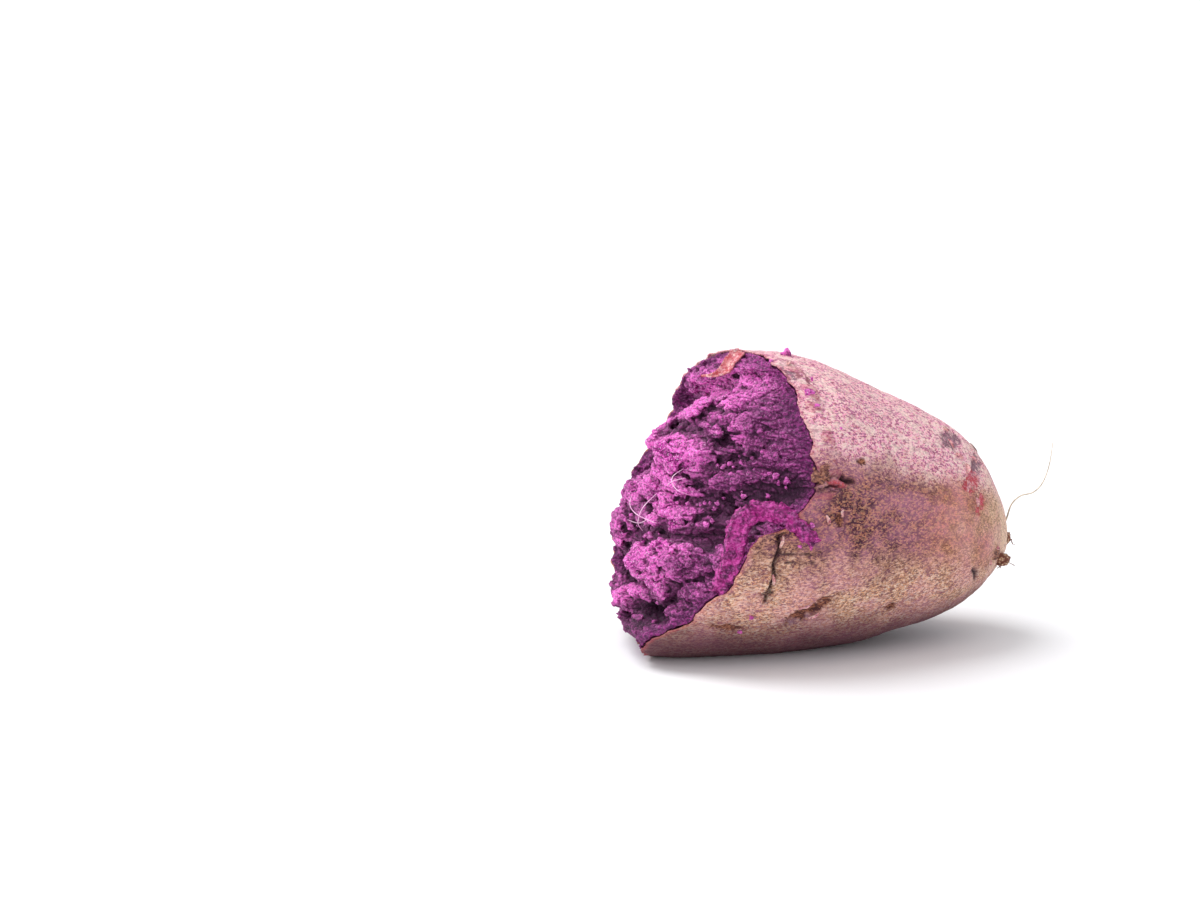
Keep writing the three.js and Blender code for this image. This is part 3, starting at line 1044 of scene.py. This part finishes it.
# The strip of flesh along the near rim, as x and z. The flap and the fibres are x, y and z.
STRIP_PATH = (
    (3.6, 28.4), (0.8, 31.4), (-3.2, 34.2), (-7.3, 35.0), (-10.6, 33.0), (-12.2, 28.8),
    (-13.2, 23.6), (-15.6, 18.0),
)
STRIP_WIDTHS = (0.6, 1.9, 3.4, 3.2, 3.4, 3.5, 3.1, 1.4)
FLAP_PATH = (
    (-2.2, 0.2, 62.9), (-3.8, -0.4, 62.0), (-5.5, -0.6, 60.3), (-7.0, 0.2, 58.8),
    (-8.6, 1.6, 58.0), (-10.2, 3.2, 57.8),
)
FLAP_WIDTHS = (1.8, 3.4, 3.2, 1.9, 0.9, 0.3)
FIBRES = (
    ((-22.5, -6, 35.0), (-26.2, -8.5, 32.6), (-27.4, -9.0, 29.6), (-26.2, -8.4, 27.6)),
    ((-23.5, -10, 29.4), (-27.2, -8.6, 31.0), (-28.4, -6.4, 32.6), (-27.8, -5.2, 34.6)),
    ((-24.0, -7, 30.2), (-27.2, -9.6, 29.6), (-29.8, -9.4, 30.4)),
    ((-17.5, -9, 40.6), (-20.6, -11.0, 39.2), (-20.4, -12.8, 37.2), (-18.0, -14, 36.0)),
    ((-18.0, -12, 39.2), (-20.8, -12.0, 38.6), (-21.6, -10.4, 37.4)),
)
# Crumbs of flesh on the peel: along, bearing and radius in millimetres.
CRUMBS = (
    (0.250, 96, 0.75), (0.252, 126, 0.8), (0.262, 132, 0.45), (0.206, 108, 0.5), (0.268, 118, 0.35),
    (0.232, 178, 0.55), (0.214, 186, 0.5), (0.160, 216, 0.6), (0.150, 224, 0.5), (0.300, 140, 0.3),
    (0.205, 70, 0.6), (0.190, 40, 0.7), (0.150, 15, 0.6), (0.170, 340, 0.6), (0.230, 25, 0.4),
)
BY_PEEL, ELSEWHERE = 60, 110  # how many loose crumbs are tried in each region of the torn face
CRUMBS_WITHIN = 27.0  # none lies further than this from the middle of the torn face


def make_crumbs(material):
    bm = bmesh.new()
    along, bearing, radius = np.array(CRUMBS).T
    centres = body_point(along, bearing, 0.3)
    # Loose crumbs on the torn face, crowded in the hollow beside the peel.
    random = np.random.default_rng(21)
    y = np.concatenate([random.uniform(-28, -9, BY_PEEL), random.uniform(-24, 24, ELSEWHERE)])
    z = np.concatenate([random.uniform(30, 43, BY_PEEL), random.uniform(10, 55, ELSEWHERE)])
    inside = FACE_RADIUS * face_radius_share(y, z) < CRUMBS_WITHIN
    y, z = y[inside], z[inside]
    loose = random.uniform(0.24, 0.62, len(y))
    centres = np.concatenate([centres, np.stack([rough_face_x(y, z) - 0.4 * loose, y, z], -1)])
    radius = np.concatenate([radius, loose])
    directions = np.broadcast_to(np.eye(3), (len(centres), 3, 3))
    radii = radius[:, None] * random.uniform(0.6, 1.4, (len(centres), 3))
    add_lumps(bm, centres, directions, radii, detail=2, seed=55, ragged=2.2)
    mesh = flesh_masks(new_mesh("crumbs", bm), shade=0.1)
    new_piece("crumbs", mesh, material, TUBER_NODE)


def skin_y(z):
    """y of the near skin at a height, beside the torn edge."""
    level = (z - AXIS_Z) / SKIN_RADIUS
    return -WIDTH_SHARE * AXIS_Z * np.sqrt(np.maximum(0.05, 1 - level**2))


def near_y(x, z):
    """y of the torn face on the near side, or of the peel where x is behind the torn edge."""
    inward = np.linspace(skin_y(z), -10, 160)
    inside = np.nonzero(rough_face_x(inward, np.full_like(inward, z)) <= x)[0]
    return inward[inside[0]] if len(inside) else inward[-1]


def make_strip(material):
    path = np.array([(x, near_y(x, z) - (1.9 if x > -6 else 1.1), z) for x, z in STRIP_PATH])
    path[:, 1] = np.minimum(path[:, 1], skin_y(path[:, 2]) + 1.8)
    path[1:-1, 1] = (path[:-2, 1] + path[1:-1, 1] + path[2:, 1]) / 3
    outward = (-0.25, -1.0, 0.0)
    bm = ribbon(path, STRIP_WIDTHS, outward, thickness=1.2, curl=0.45, seed=101, rows=300, columns=36)
    mesh = flesh_masks(new_mesh("flesh_strip", bm), shade=0.45)
    places, normals = mesh_arrays(mesh)
    height = 0.5 * cloud(places, 1.9, 103) + 0.4 * cloud(places * np.array([1, 1, 0.6]), 0.8, 104)
    height = np.maximum(height + 0.22 * cloud(places, 0.4, 105), -0.5)
    put_mesh_places(mesh, places + normals * height[:, None])
    new_piece("flesh_strip", mesh, material, TUBER_NODE)


def make_flap(material):
    outward = (-0.75, -0.6, 0.35)
    bm = ribbon(FLAP_PATH, FLAP_WIDTHS, outward, thickness=0.35, curl=0.7, seed=111, rows=60, columns=14)
    scrap_of_peel("peel_flap", bm, material, redness=1.1)


def make_fibres(material):
    parts = [thread(path, (0.07, 0.1, 0.08, 0.04), rows=24, columns=6) for path in FIBRES]
    new_piece("fibres", joined(parts), material, TUBER_NODE)


# Curled flakes of peel: along, bearing, length in millimetres and turn in degrees.
FLAKES = (
    (0.548, 124, 3.4, 70), (0.565, 131, 2.6, 20), (0.585, 138, 3.8, 95), (0.612, 140, 2.6, 60),
    (0.575, 150, 3.2, 100), (0.605, 158, 2.8, 80), (0.552, 112, 2.4, 150), (0.628, 126, 2.2, 40),
    (0.262, 176, 2.0, 60), (0.288, 173, 1.6, 90),
    (0.186, 184, 2.4, 100), (0.180, 199, 2.2, 80), (0.238, 211, 3.0, 150), (0.256, 216, 2.4, 140),
    (0.236, 108, 2.2, 110), (0.690, 200, 2.2, 90), (0.740, 190, 2.4, 70), (0.310, 62, 3.2, 40),
    (0.290, 54, 2.6, 120), (0.440, 24, 2.6, 80), (0.530, 333, 2.8, 60), (0.360, 292, 3.0, 20),
)
FLAKE_WIDTHS = (0.25, 0.85, 0.3)
# About how much of along and of bearing a millimetre on the skin is.
ALONG_PER_MM = 1 / 130
DEGREES_PER_MM = 1.9


def make_flakes(material):
    parts = []
    steps, lift = np.array([-0.5, 0.0, 0.5]), np.array([0.1, 0.45, 0.1])
    for number, (along, bearing, length, turn) in enumerate(FLAKES):
        lengthwise = math.cos(math.radians(turn)) * length * ALONG_PER_MM
        roundwise = math.sin(math.radians(turn)) * length * DEGREES_PER_MM
        path = body_point(along + lengthwise * steps, bearing + roundwise * steps, lift)
        outward = unit_rows(body_point(along, bearing, 1) - body_point(along, bearing))
        flake = ribbon(path, FLAKE_WIDTHS, tuple(outward), 0.1, 0.25, 200 + number, rows=16, columns=6)
        parts.append(flake)
    scrap_of_peel("peel_flakes", joined(parts), material, redness=0.3)


def make_scab(material):
    """A corky knob on the peel, above the crack beside the torn edge."""
    random = np.random.default_rng(9)
    bm = bmesh.new()
    count = 44
    along = 0.250 + random.uniform(-0.014, 0.014, count)
    bearing = 159.5 + random.uniform(-3.6, 3.6, count)
    directions = np.broadcast_to(np.eye(3), (count, 3, 3))
    radii = random.uniform(0.3, 0.75, (count, 1)) * random.uniform(0.6, 1.2, (count, 3))
    add_lumps(bm, body_point(along, bearing, 0.25), directions, radii, detail=3, seed=77)
    scrap_of_peel("peel_scab", bm, material, redness=0.0, rust=0.9)


FAR_FROM_EDGE = 9.0  # in mm, where the peel's edge leaves no stain


def scrap_of_peel(name, bm, material, redness, rust=0.0):
    """A loose piece of peel, with the colour masks that the peel has."""
    mesh = new_mesh(name, bm)
    places, _ = mesh_arrays(mesh)
    masks = dict.fromkeys(("side", "tip", "bare", "crack", "warm", "painted_low_shade"), 0.0)
    for mask, value in {**masks, "rust": rust, "edge": FAR_FROM_EDGE, "back": 0.6}.items():
        write_value(mesh, mask, np.full(len(places), value))
    patchy = 0.4 * smooth_step(cloud(places, 2.5, 112), -0.3, 0.2)
    write_value(mesh, "red", np.clip(redness - patchy, 0, 1))
    new_piece(name, mesh, material, TUBER_NODE)


ROOT_END = np.array([57.0, -0.5, 20.0])
ROOT_SCAR = np.array([53.4, -8.2, 17.2])
# Stubs of root: the place each grows from, its points from there, its radii and its sides.
STUBS = (
    (ROOT_END, ((-2.5, 0.0, 0.4), (0.6, 0.1, 0.0), (1.8, 0.1, -0.3)), (1.9, 1.8, 1.5, 1.1), 16),
    (ROOT_SCAR, ((-1.5, 1.0, 0.3), (1.0, -0.7, -0.2), (1.8, -1.3, -0.5)), (1.4, 1.3, 0.9), 14),
)
ROOT_HAIRS = 16
ROOTLET_PATH = (
    (56.6, -1.4, 22.0), (57.6, -1.6, 24.4), (58.6, -1.8, 27.6), (60.6, -1.9, 29.4),
    (63.6, -1.9, 30.1), (65.8, -1.8, 32.2), (67.3, -1.6, 36.2), (68.0, -1.4, 41.0),
)
ROOTLET_RADII = (0.24, 0.2, 0.17, 0.16, 0.15, 0.13, 0.11, 0.07)


def make_root_stub(material):
    """The broken root at the tip and the root scar beside it: ragged stubs with hairs."""
    random = np.random.default_rng(5)
    parts = [thread(start + np.array(steps), radii, 16, sides) for start, steps, radii, sides in STUBS]
    for number in range(ROOT_HAIRS):
        start, outward = ((ROOT_END, (1, 0, 0)), (ROOT_SCAR, (1, -0.35, 0)))[number % 2]
        start = start + random.uniform(-1.3, 1.3, 3)
        heading = unit_rows(outward + random.uniform(-0.8, 0.8, 3))
        bend = random.uniform(-0.7, 0.7, 3)
        length = random.uniform(1.2, 2.6)
        path = [start - heading, start + heading * length * 0.5, start + (heading + bend * 0.6) * length]
        parts.append(thread(path, (0.14, 0.12, 0.05), rows=12, columns=6))
    bm = joined(parts)
    places = get_places(bm.verts)
    shift = np.stack([cloud(places, 0.9, seed) for seed in (121, 122, 123)], -1) * 0.35
    set_places(bm.verts, places + shift)
    new_piece("root_stub", bm, material, TUBER_NODE)


def make_rootlet(material):
    bm = thread(ROOTLET_PATH, ROOTLET_RADII, rows=90, columns=8)
    new_piece("rootlet_hair", bm, material, ROOTLET_NODE)


# ---- Materials ---------------------------------------------------------------------------------

SPECKLE_NAME = "Grain speckle"
PEEL_NAME = "Sweet potato peel"
FLESH_NAME = "Torn purple flesh"
# Grains of speckle in a metre.
PEEL_GRAIN = 4700.0
FLESH_GRAIN = 3600.0


class Nodes:
    """A short way to lay out a shader: each call adds a node and links what it is given."""

    # A mix node's sockets for each type share their names, so its colours go by number.
    FIRST_COLOUR, SECOND_COLOUR, MIXED_COLOUR = 6, 7, 2

    def __init__(self, tree):
        self.tree = tree

    def add(self, kind, values=None, **settings):
        node = self.tree.nodes.new(kind)
        for key, value in settings.items():
            setattr(node, key, value)
        for key, value in (values or {}).items():
            self.feed(node.inputs[key], value)
        return node

    def feed(self, socket, value):
        if isinstance(value, bpy.types.NodeSocket):
            self.tree.links.new(value, socket)
        elif hasattr(value, "__len__") and len(value) == 3 and socket.type == "RGBA":
            socket.default_value = (*value, 1)
        else:
            socket.default_value = value

    def place(self):
        return self.add("ShaderNodeTexCoord").outputs["Object"]

    def attribute(self, name):
        return self.add("ShaderNodeAttribute", attribute_name=name).outputs["Fac"]

    def noise(self, vector, scale, detail, roughness):
        values = {"Vector": vector, "Scale": scale, "Detail": detail, "Roughness": roughness}
        return self.add("ShaderNodeTexNoise", values).outputs["Fac"]

    def ramp(self, value, low, high):
        values = {"Value": value, "From Min": low, "From Max": high}
        node = self.add("ShaderNodeMapRange", values, interpolation_type="SMOOTHSTEP", clamp=True)
        return node.outputs["Result"]

    def maths(self, operation, *values):
        node = self.add("ShaderNodeMath", operation=operation)
        for socket, value in zip(node.inputs, values):
            self.feed(socket, value)
        return node.outputs[0]

    def mix(self, share, first, second):
        node = self.add("ShaderNodeMix", {"Factor": share}, data_type="RGBA")
        self.feed(node.inputs[self.FIRST_COLOUR], first)
        self.feed(node.inputs[self.SECOND_COLOUR], second)
        return node.outputs[self.MIXED_COLOUR]

    def coats(self, base, *coats):
        """Lays colours over a base, each given as its mask, how strong it is, and its colour."""
        for mask, strength, colour_over in coats:
            base = self.mix(self.maths("MULTIPLY", mask, strength), base, colour_over)
        return base

    def stretch(self, vector, scale):
        return self.add("ShaderNodeMapping", {"Vector": vector, "Scale": scale}).outputs["Vector"]

    def speckle(self, place, grains_in_metre):
        """The outputs of the speckle group, laid over the object."""
        group = bpy.data.node_groups.get(SPECKLE_NAME) or speckle_group()
        values = {"Vector": place, "Scale": grains_in_metre}
        return self.add("ShaderNodeGroup", values, node_tree=group).outputs

    def bump(self, height, strength, distance):
        values = {"Height": height, "Strength": strength, "Distance": distance}
        return self.add("ShaderNodeBump", values).outputs["Normal"]

    def surface(self, **values):
        """The shader itself; each value's name is its socket's, with _ for a space."""
        sockets = {name.replace("_", " "): value for name, value in values.items()}
        shader = self.add("ShaderNodeBsdfPrincipled", sockets)
        self.add("ShaderNodeOutputMaterial", {"Surface": shader.outputs["BSDF"]})


def new_material(name):
    material = bpy.data.materials.new(name)
    material.use_nodes = True
    material.node_tree.nodes.clear()
    return material, Nodes(material.node_tree)


def speckle_group():
    """A node group: grain at two sizes, a tint for each cell and fine lengthwise lines."""
    group = bpy.data.node_groups.new(SPECKLE_NAME, "ShaderNodeTree")
    for name, kind in (("Vector", "NodeSocketVector"), ("Scale", "NodeSocketFloat")):
        group.interface.new_socket(name=name, in_out="INPUT", socket_type=kind)
    nodes = Nodes(group)
    given = nodes.add("NodeGroupInput").outputs
    vector = given["Vector"]

    def scaled(share):
        return nodes.maths("MULTIPLY", given["Scale"], share)

    cells = nodes.add(
        "ShaderNodeTexVoronoi", {"Vector": nodes.stretch(vector, (0.62, 1, 1)), "Scale": scaled(0.72)}
    )
    chance = nodes.add("ShaderNodeSeparateColor", {"Color": cells.outputs["Color"]}).outputs
    fine = nodes.noise(vector, given["Scale"], 3.0, 0.75)
    coarse = nodes.noise(vector, scaled(0.3), 4.0, 0.75)
    lines = nodes.noise(nodes.stretch(vector, (0.12, 1, 1)), scaled(0.8), 2.0, 0.6)
    wrinkles = nodes.noise(nodes.stretch(vector, (0.16, 1, 1)), scaled(0.22), 3.0, 0.6)
    both = nodes.maths("MULTIPLY_ADD", coarse, 0.6, nodes.maths("MULTIPLY", fine, 0.4))
    both = nodes.maths("MULTIPLY_ADD", both, 0.8, nodes.maths("MULTIPLY", chance["Red"], 0.2))
    ridged = nodes.maths("MULTIPLY_ADD", lines, 0.4, both)
    found = {
        "Light": nodes.ramp(both, 0.505, 0.565),
        "Dark": nodes.ramp(both, 0.49, 0.43),
        "Lines": nodes.ramp(lines, 0.42, 0.60),
        "Tint": nodes.ramp(chance["Green"], 0.55, 0.95),
        "Height": nodes.maths("MULTIPLY_ADD", wrinkles, 0.9, ridged),
    }
    for name in found:
        group.interface.new_socket(name=name, in_out="OUTPUT", socket_type="NodeSocketFloat")
    nodes.add("NodeGroupOutput", found)
    return group


def peel_material(colours):
    material, nodes = new_material(PEEL_NAME)
    place = nodes.place()
    grain = nodes.speckle(place, PEEL_GRAIN)
    light, dark, lines, tint = (grain[name] for name in ("Light", "Dark", "Lines", "Tint"))
    cloudy = nodes.ramp(nodes.noise(nodes.stretch(place, (0.5, 1, 1)), 420.0, 5.0, 0.75), 0.48, 0.60)
    smudges = nodes.ramp(nodes.noise(nodes.stretch(place, (0.4, 1, 1)), 620.0, 4.0, 0.7), 0.53, 0.66)
    broad = nodes.ramp(nodes.noise(place, 90.0, 3.0, 0.6), 0.42, 0.62)
    broken = nodes.ramp(nodes.noise(place, 900.0, 4.0, 0.7), 0.38, 0.52)
    warm = nodes.attribute("warm")

    belly = nodes.coats(
        colours.belly,
        (dark, 0.78, colours.belly_fleck),
        (light, 0.7, colours.cream),
        (smudges, 0.5, colours.back_fleck),
        (lines, 0.4, colours.belly_fleck),
        (broad, 0.25, colours.back),
        (tint, 0.35, colours.side_fleck),
    )
    pink = nodes.coats(
        colours.back,
        (dark, 0.8, colours.back_fleck),
        (light, 0.72, colours.cream),
        (tint, 0.3, colours.side_fleck),
        (cloudy, 0.5, colours.cream),
        (smudges, 0.42, colours.back_fleck),
    )
    dusky = nodes.coats(
        colours.side,
        (light, 0.82, colours.side_fleck),
        (dark, 0.85, colours.crack),
        (cloudy, 0.16, colours.back),
        (smudges, 0.5, colours.crack),
        (warm, 0.34, colours.side_fleck),
        (nodes.maths("SUBTRACT", 1.0, warm), 0.3, colours.side),
        (broad, 0.25, colours.back),
        (tint, 0.3, colours.belly),
    )
    smooth_tip = nodes.coats(
        colours.tip,
        (dark, 0.46, colours.belly_fleck),
        (light, 0.4, colours.cream),
        (cloudy, 0.18, colours.back),
    )
    bare = nodes.coats(colours.bare, (dark, 0.35, colours.side))
    red = nodes.coats(colours.red, (light, 0.35, colours.back))
    rust = nodes.coats(colours.rust, (light, 0.4, colours.side_fleck), (dark, 0.7, colours.crack))
    base = nodes.coats(
        belly,
        (nodes.attribute("back"), 1.0, pink),
        (nodes.attribute("side"), 1.0, dusky),
        (nodes.attribute("tip"), 0.92, smooth_tip),
        # Painted shade low on the belly beside the table, in the side colour.
        (nodes.attribute("painted_low_shade"), 0.88, colours.side),
        (nodes.attribute("bare"), broken, bare),
        (nodes.attribute("red"), broken, red),
        (nodes.attribute("rust"), 1.0, rust),
        (nodes.ramp(nodes.attribute("edge"), 1.3, 0.0), 0.28, colours.red),
        # Painted shade in the cracks.
        (nodes.attribute("crack"), 1.0, colours.crack),
    )
    nodes.surface(
        Base_Color=base,
        Roughness=nodes.maths("MULTIPLY_ADD", nodes.ramp(light, -0.6, 2.2), -0.3, 0.72),
        Normal=nodes.bump(grain["Height"], 0.75, 0.0009),
        Specular_IOR_Level=0.35,
    )
    return material


def flesh_material(colours):
    material, nodes = new_material(FLESH_NAME)
    place = nodes.place()
    grain = nodes.speckle(place, FLESH_GRAIN)
    light = grain["Light"]
    fine, broad, depth, rim, shade = (
        nodes.attribute(name) for name in ("fine", "broad", "depth", "rim", "shade")
    )
    patchy = nodes.noise(place, 150.0, 3.0, 0.6)
    threads = nodes.noise(nodes.stretch(place, (0.2, 0.3, 1)), 1100.0, 3.0, 0.65)
    painted_glint = nodes.ramp(nodes.noise(place, 3200.0, 2.0, 0.7), 0.58, 0.66)
    sparkle = nodes.ramp(nodes.noise(place, 2600.0, 1.0, 0.5), 0.60, 0.72)
    inner = nodes.ramp(rim, 0.95, 0.86)

    def less_in_shade(strength, loss):
        return nodes.maths("MULTIPLY_ADD", shade, -loss, strength)

    # The shade mask moves the pink flesh towards its dark purples: painted shade and light, and the
    # flesh's own darker patches.
    bright = nodes.mix(nodes.ramp(patchy, 0.43, 0.60), colours.light, colours.flesh)
    dim = nodes.mix(nodes.ramp(threads, 0.42, 0.60), colours.deep, colours.under_skin)
    base = nodes.coats(
        nodes.mix(shade, bright, dim),
        # Painted highlights on the raised lumps and grains, weaker in the painted shade.
        (nodes.ramp(broad, 0.5, 0.15), less_in_shade(0.5, 0.25), colours.light),
        (nodes.ramp(fine, 0.50, 0.26), less_in_shade(0.72, 0.5), colours.light),
        (light, less_in_shade(0.45, 0.3), colours.light),
        (grain["Dark"], 0.68, colours.deep),
        # Pale specks painted as glints, weaker in the painted shade.
        (painted_glint, less_in_shade(0.8, 0.6), colours.painted_glint),
        # Painted shade in the small and the broad hollows and in the deepest parts of the face.
        (nodes.ramp(fine, 0.52, 0.80), 0.5, colours.deep),
        (nodes.ramp(broad, 0.52, 0.85), nodes.maths("MULTIPLY", inner, 0.9), colours.darkest),
        (nodes.ramp(depth, 0.60, 0.95), nodes.maths("MULTIPLY", inner, 0.85), colours.darkest),
        (nodes.ramp(rim, 0.90, 0.97), 0.6, nodes.coats(colours.under_skin, (light, 0.4, colours.flesh))),
    )
    nodes.surface(
        Base_Color=base,
        Roughness=nodes.maths("MULTIPLY_ADD", sparkle, -0.3, 0.56),
        Normal=nodes.bump(grain["Height"], 0.85, 0.0008),
        Subsurface_Weight=0.12,
        Subsurface_Radius=(1.0, 0.35, 0.8),
        Subsurface_Scale=0.0012,
        Specular_IOR_Level=0.3,
    )
    return material


def strip_material(colours):
    material, nodes = new_material("Moist flesh strip")
    place = nodes.place()
    grain = nodes.speckle(place, FLESH_GRAIN)
    threads = nodes.noise(nodes.stretch(place, (0.35, 1, 0.6)), 900.0, 3.0, 0.6)
    base = nodes.coats(
        nodes.mix(nodes.ramp(threads, 0.36, 0.60), colours.deep, colours.strip),
        (grain["Dark"], 0.5, colours.deep),
        (grain["Light"], 0.35, colours.light),
        (nodes.ramp(nodes.attribute("fine"), 0.52, 0.8), 1.0, colours.darkest),
    )
    nodes.surface(Base_Color=base, Roughness=0.36, Normal=nodes.bump(grain["Height"], 0.7, 0.0008))
    return material


def root_material(colours):
    material, nodes = new_material("Dry root")
    grain = nodes.noise(nodes.place(), 1800.0, 3.0, 0.6)
    base = nodes.mix(nodes.ramp(grain, 0.48, 0.75), colours.rust, colours.tip)
    nodes.surface(Base_Color=base, Roughness=0.75, Normal=nodes.bump(grain, 0.6, 0.0003))
    return material


def fibre_material(name, colours):
    material, nodes = new_material(name)
    patchy = nodes.noise(nodes.place(), 900.0, 2.0, 0.5)
    base = nodes.mix(nodes.ramp(patchy, 0.35, 0.75), colours.fibre, colours.fibre_shade)
    nodes.surface(Base_Color=base, Roughness=0.4)
    return material


def table_material(studio):
    material, nodes = new_material("White table")
    nodes.surface(Base_Color=studio.floor, Roughness=0.6)
    return material


# ---- Stage -------------------------------------------------------------------------------------

FLOOR_SIZE = 14.0  # metres from the floor's middle to its sides
SKY_COLOUR = (0.97, 0.98, 1, 1)
SKY_STRENGTH = 0.77
# Soft lights: which way they lie, how strong they are, and how many degrees wide.
SUNS = {
    "soft daylight": ((-0.45, 0.35, 1.0), 2.2, 45),
    "left fill": ((-0.95, -0.4, 0.4), 1.25, 60),
}


def make_suns():
    for name, (towards, strength, spread) in SUNS.items():
        data = bpy.data.lights.new(name, "SUN")
        data.energy = strength
        data.angle = math.radians(spread)
        lamp = linked_object(name, data)
        lamp.rotation_euler = Vector(towards).to_track_quat("Z", "Y").to_euler()


def make_camera(studio):
    azimuth, elevation = studio.azimuth, studio.elevation
    back = Vector((
        math.sin(azimuth) * math.cos(elevation),
        -math.cos(azimuth) * math.cos(elevation),
        math.sin(elevation),
    ))
    right = Vector((math.cos(azimuth), math.sin(azimuth), 0))
    up = back.cross(right)
    data = bpy.data.cameras.new("camera")
    data.lens = studio.lens
    camera = linked_object("camera", data)
    camera.location = up * studio.aim_up - right * studio.aim_left + back * studio.distance
    camera.rotation_euler = back.to_track_quat("Z", "Y").to_euler()
    bpy.context.scene.camera = camera


def make_floor(studio):
    bm = bmesh.new()
    bmesh.ops.create_grid(bm, x_segments=1, y_segments=1, size=FLOOR_SIZE)
    mesh = new_mesh("floor", bm)
    mesh.materials.append(table_material(studio))
    floor = linked_object("floor", mesh)


def make_sky():
    world = bpy.data.worlds.new("studio")
    world.use_nodes = True
    background = world.node_tree.nodes["Background"].inputs
    background["Color"].default_value = SKY_COLOUR
    background["Strength"].default_value = SKY_STRENGTH
    bpy.context.scene.world = world
    bpy.context.scene.view_settings.view_transform = "Standard"


# ---- Operators ---------------------------------------------------------------------------------


def shared_flesh(context):
    return bpy.data.materials.get(FLESH_NAME) or flesh_material(context.scene.potato_flesh)


def shared_peel(context):
    return bpy.data.materials.get(PEEL_NAME) or peel_material(context.scene.potato_skin)


class POTATO_OT_stage(bpy.types.Operator):
    """Makes the white table, the soft studio light and the camera"""

    bl_idname = "potato.stage"
    bl_label = "Stage"

    def execute(self, context):
        studio = context.scene.potato_studio
        make_camera(studio)
        make_floor(studio)
        make_sky()
        make_suns()
        return {"FINISHED"}


class POTATO_OT_flesh(bpy.types.Operator):
    """Makes the torn flesh in four quarters"""

    bl_idname = "potato.flesh"
    bl_label = "Flesh"

    def execute(self, context):
        shape, material = context.scene.potato_shape, shared_flesh(context)
        for side, side_name in ((-1, "near"), (1, "far")):
            for level, level_name in ((-1, "low"), (1, "high")):
                make_flesh(f"flesh_{side_name}_{level_name}", side, level, shape, material)
        return {"FINISHED"}


class POTATO_OT_peel(bpy.types.Operator):
    """Makes the peel with its torn edge, cracks and scars"""

    bl_idname = "potato.peel"
    bl_label = "Peel"

    def execute(self, context):
        make_peel(context.scene.potato_shape, shared_peel(context))
        return {"FINISHED"}


class POTATO_OT_peel_scraps(bpy.types.Operator):
    """Makes the folded flap on the crown of the break, the curled flakes and the corky knob"""

    bl_idname = "potato.peel_scraps"
    bl_label = "Scraps of Peel"

    def execute(self, context):
        for make in (make_flap, make_flakes, make_scab):
            make(shared_peel(context))
        return {"FINISHED"}


class POTATO_OT_flesh_scraps(bpy.types.Operator):
    """Makes the strip of flesh over the peel's edge, the crumbs and the pale fibres"""

    bl_idname = "potato.flesh_scraps"
    bl_label = "Scraps of Flesh"

    def execute(self, context):
        make_strip(strip_material(context.scene.potato_flesh))
        make_crumbs(shared_flesh(context))
        make_fibres(fibre_material("Pale fibre", context.scene.potato_flesh))
        return {"FINISHED"}


class POTATO_OT_roots(bpy.types.Operator):
    """Makes the ragged root stubs and the long rootlet at the tip"""

    bl_idname = "potato.roots"
    bl_label = "Roots"

    def execute(self, context):
        make_root_stub(root_material(context.scene.potato_skin))
        make_rootlet(fibre_material("Pale rootlet", context.scene.potato_skin))
        return {"FINISHED"}


class POTATO_PT_panel(bpy.types.Panel):
    """Lists the tuber's pieces in the order they are made"""

    bl_idname = "POTATO_PT_panel"
    bl_label = "Sweet Potato"
    bl_space_type = "VIEW_3D"
    bl_region_type = "UI"
    bl_category = "Sweet Potato"

    def draw(self, context):
        for operator in OPERATORS:
            self.layout.operator(operator.bl_idname)
        for group_name in PROPERTY_NAMES:
            group = getattr(context.scene, group_name)
            for key in group.__annotations__:
                self.layout.prop(group, key)


OPERATORS = (
    POTATO_OT_stage,
    POTATO_OT_flesh,
    POTATO_OT_peel,
    POTATO_OT_peel_scraps,
    POTATO_OT_flesh_scraps,
    POTATO_OT_roots,
)
PROPERTY_NAMES = {
    "potato_shape": PotatoShape,
    "potato_skin": SkinColours,
    "potato_flesh": FleshColours,
    "potato_studio": StudioSettings,
}
CLASSES = (*PROPERTY_NAMES.values(), *OPERATORS, POTATO_PT_panel)


def register():
    for cls in CLASSES:
        bpy.utils.register_class(cls)
    for name, group in PROPERTY_NAMES.items():
        setattr(bpy.types.Scene, name, PointerProperty(type=group))


def unregister():
    for name in PROPERTY_NAMES:
        delattr(bpy.types.Scene, name)
    for cls in reversed(CLASSES):
        bpy.utils.unregister_class(cls)


def main():
    register()
    bpy.ops.potato.stage()
    bpy.ops.potato.flesh()
    bpy.ops.potato.peel()
    bpy.ops.potato.peel_scraps()
    bpy.ops.potato.flesh_scraps()
    bpy.ops.potato.roots()


if __name__ == "__main__":
    main()
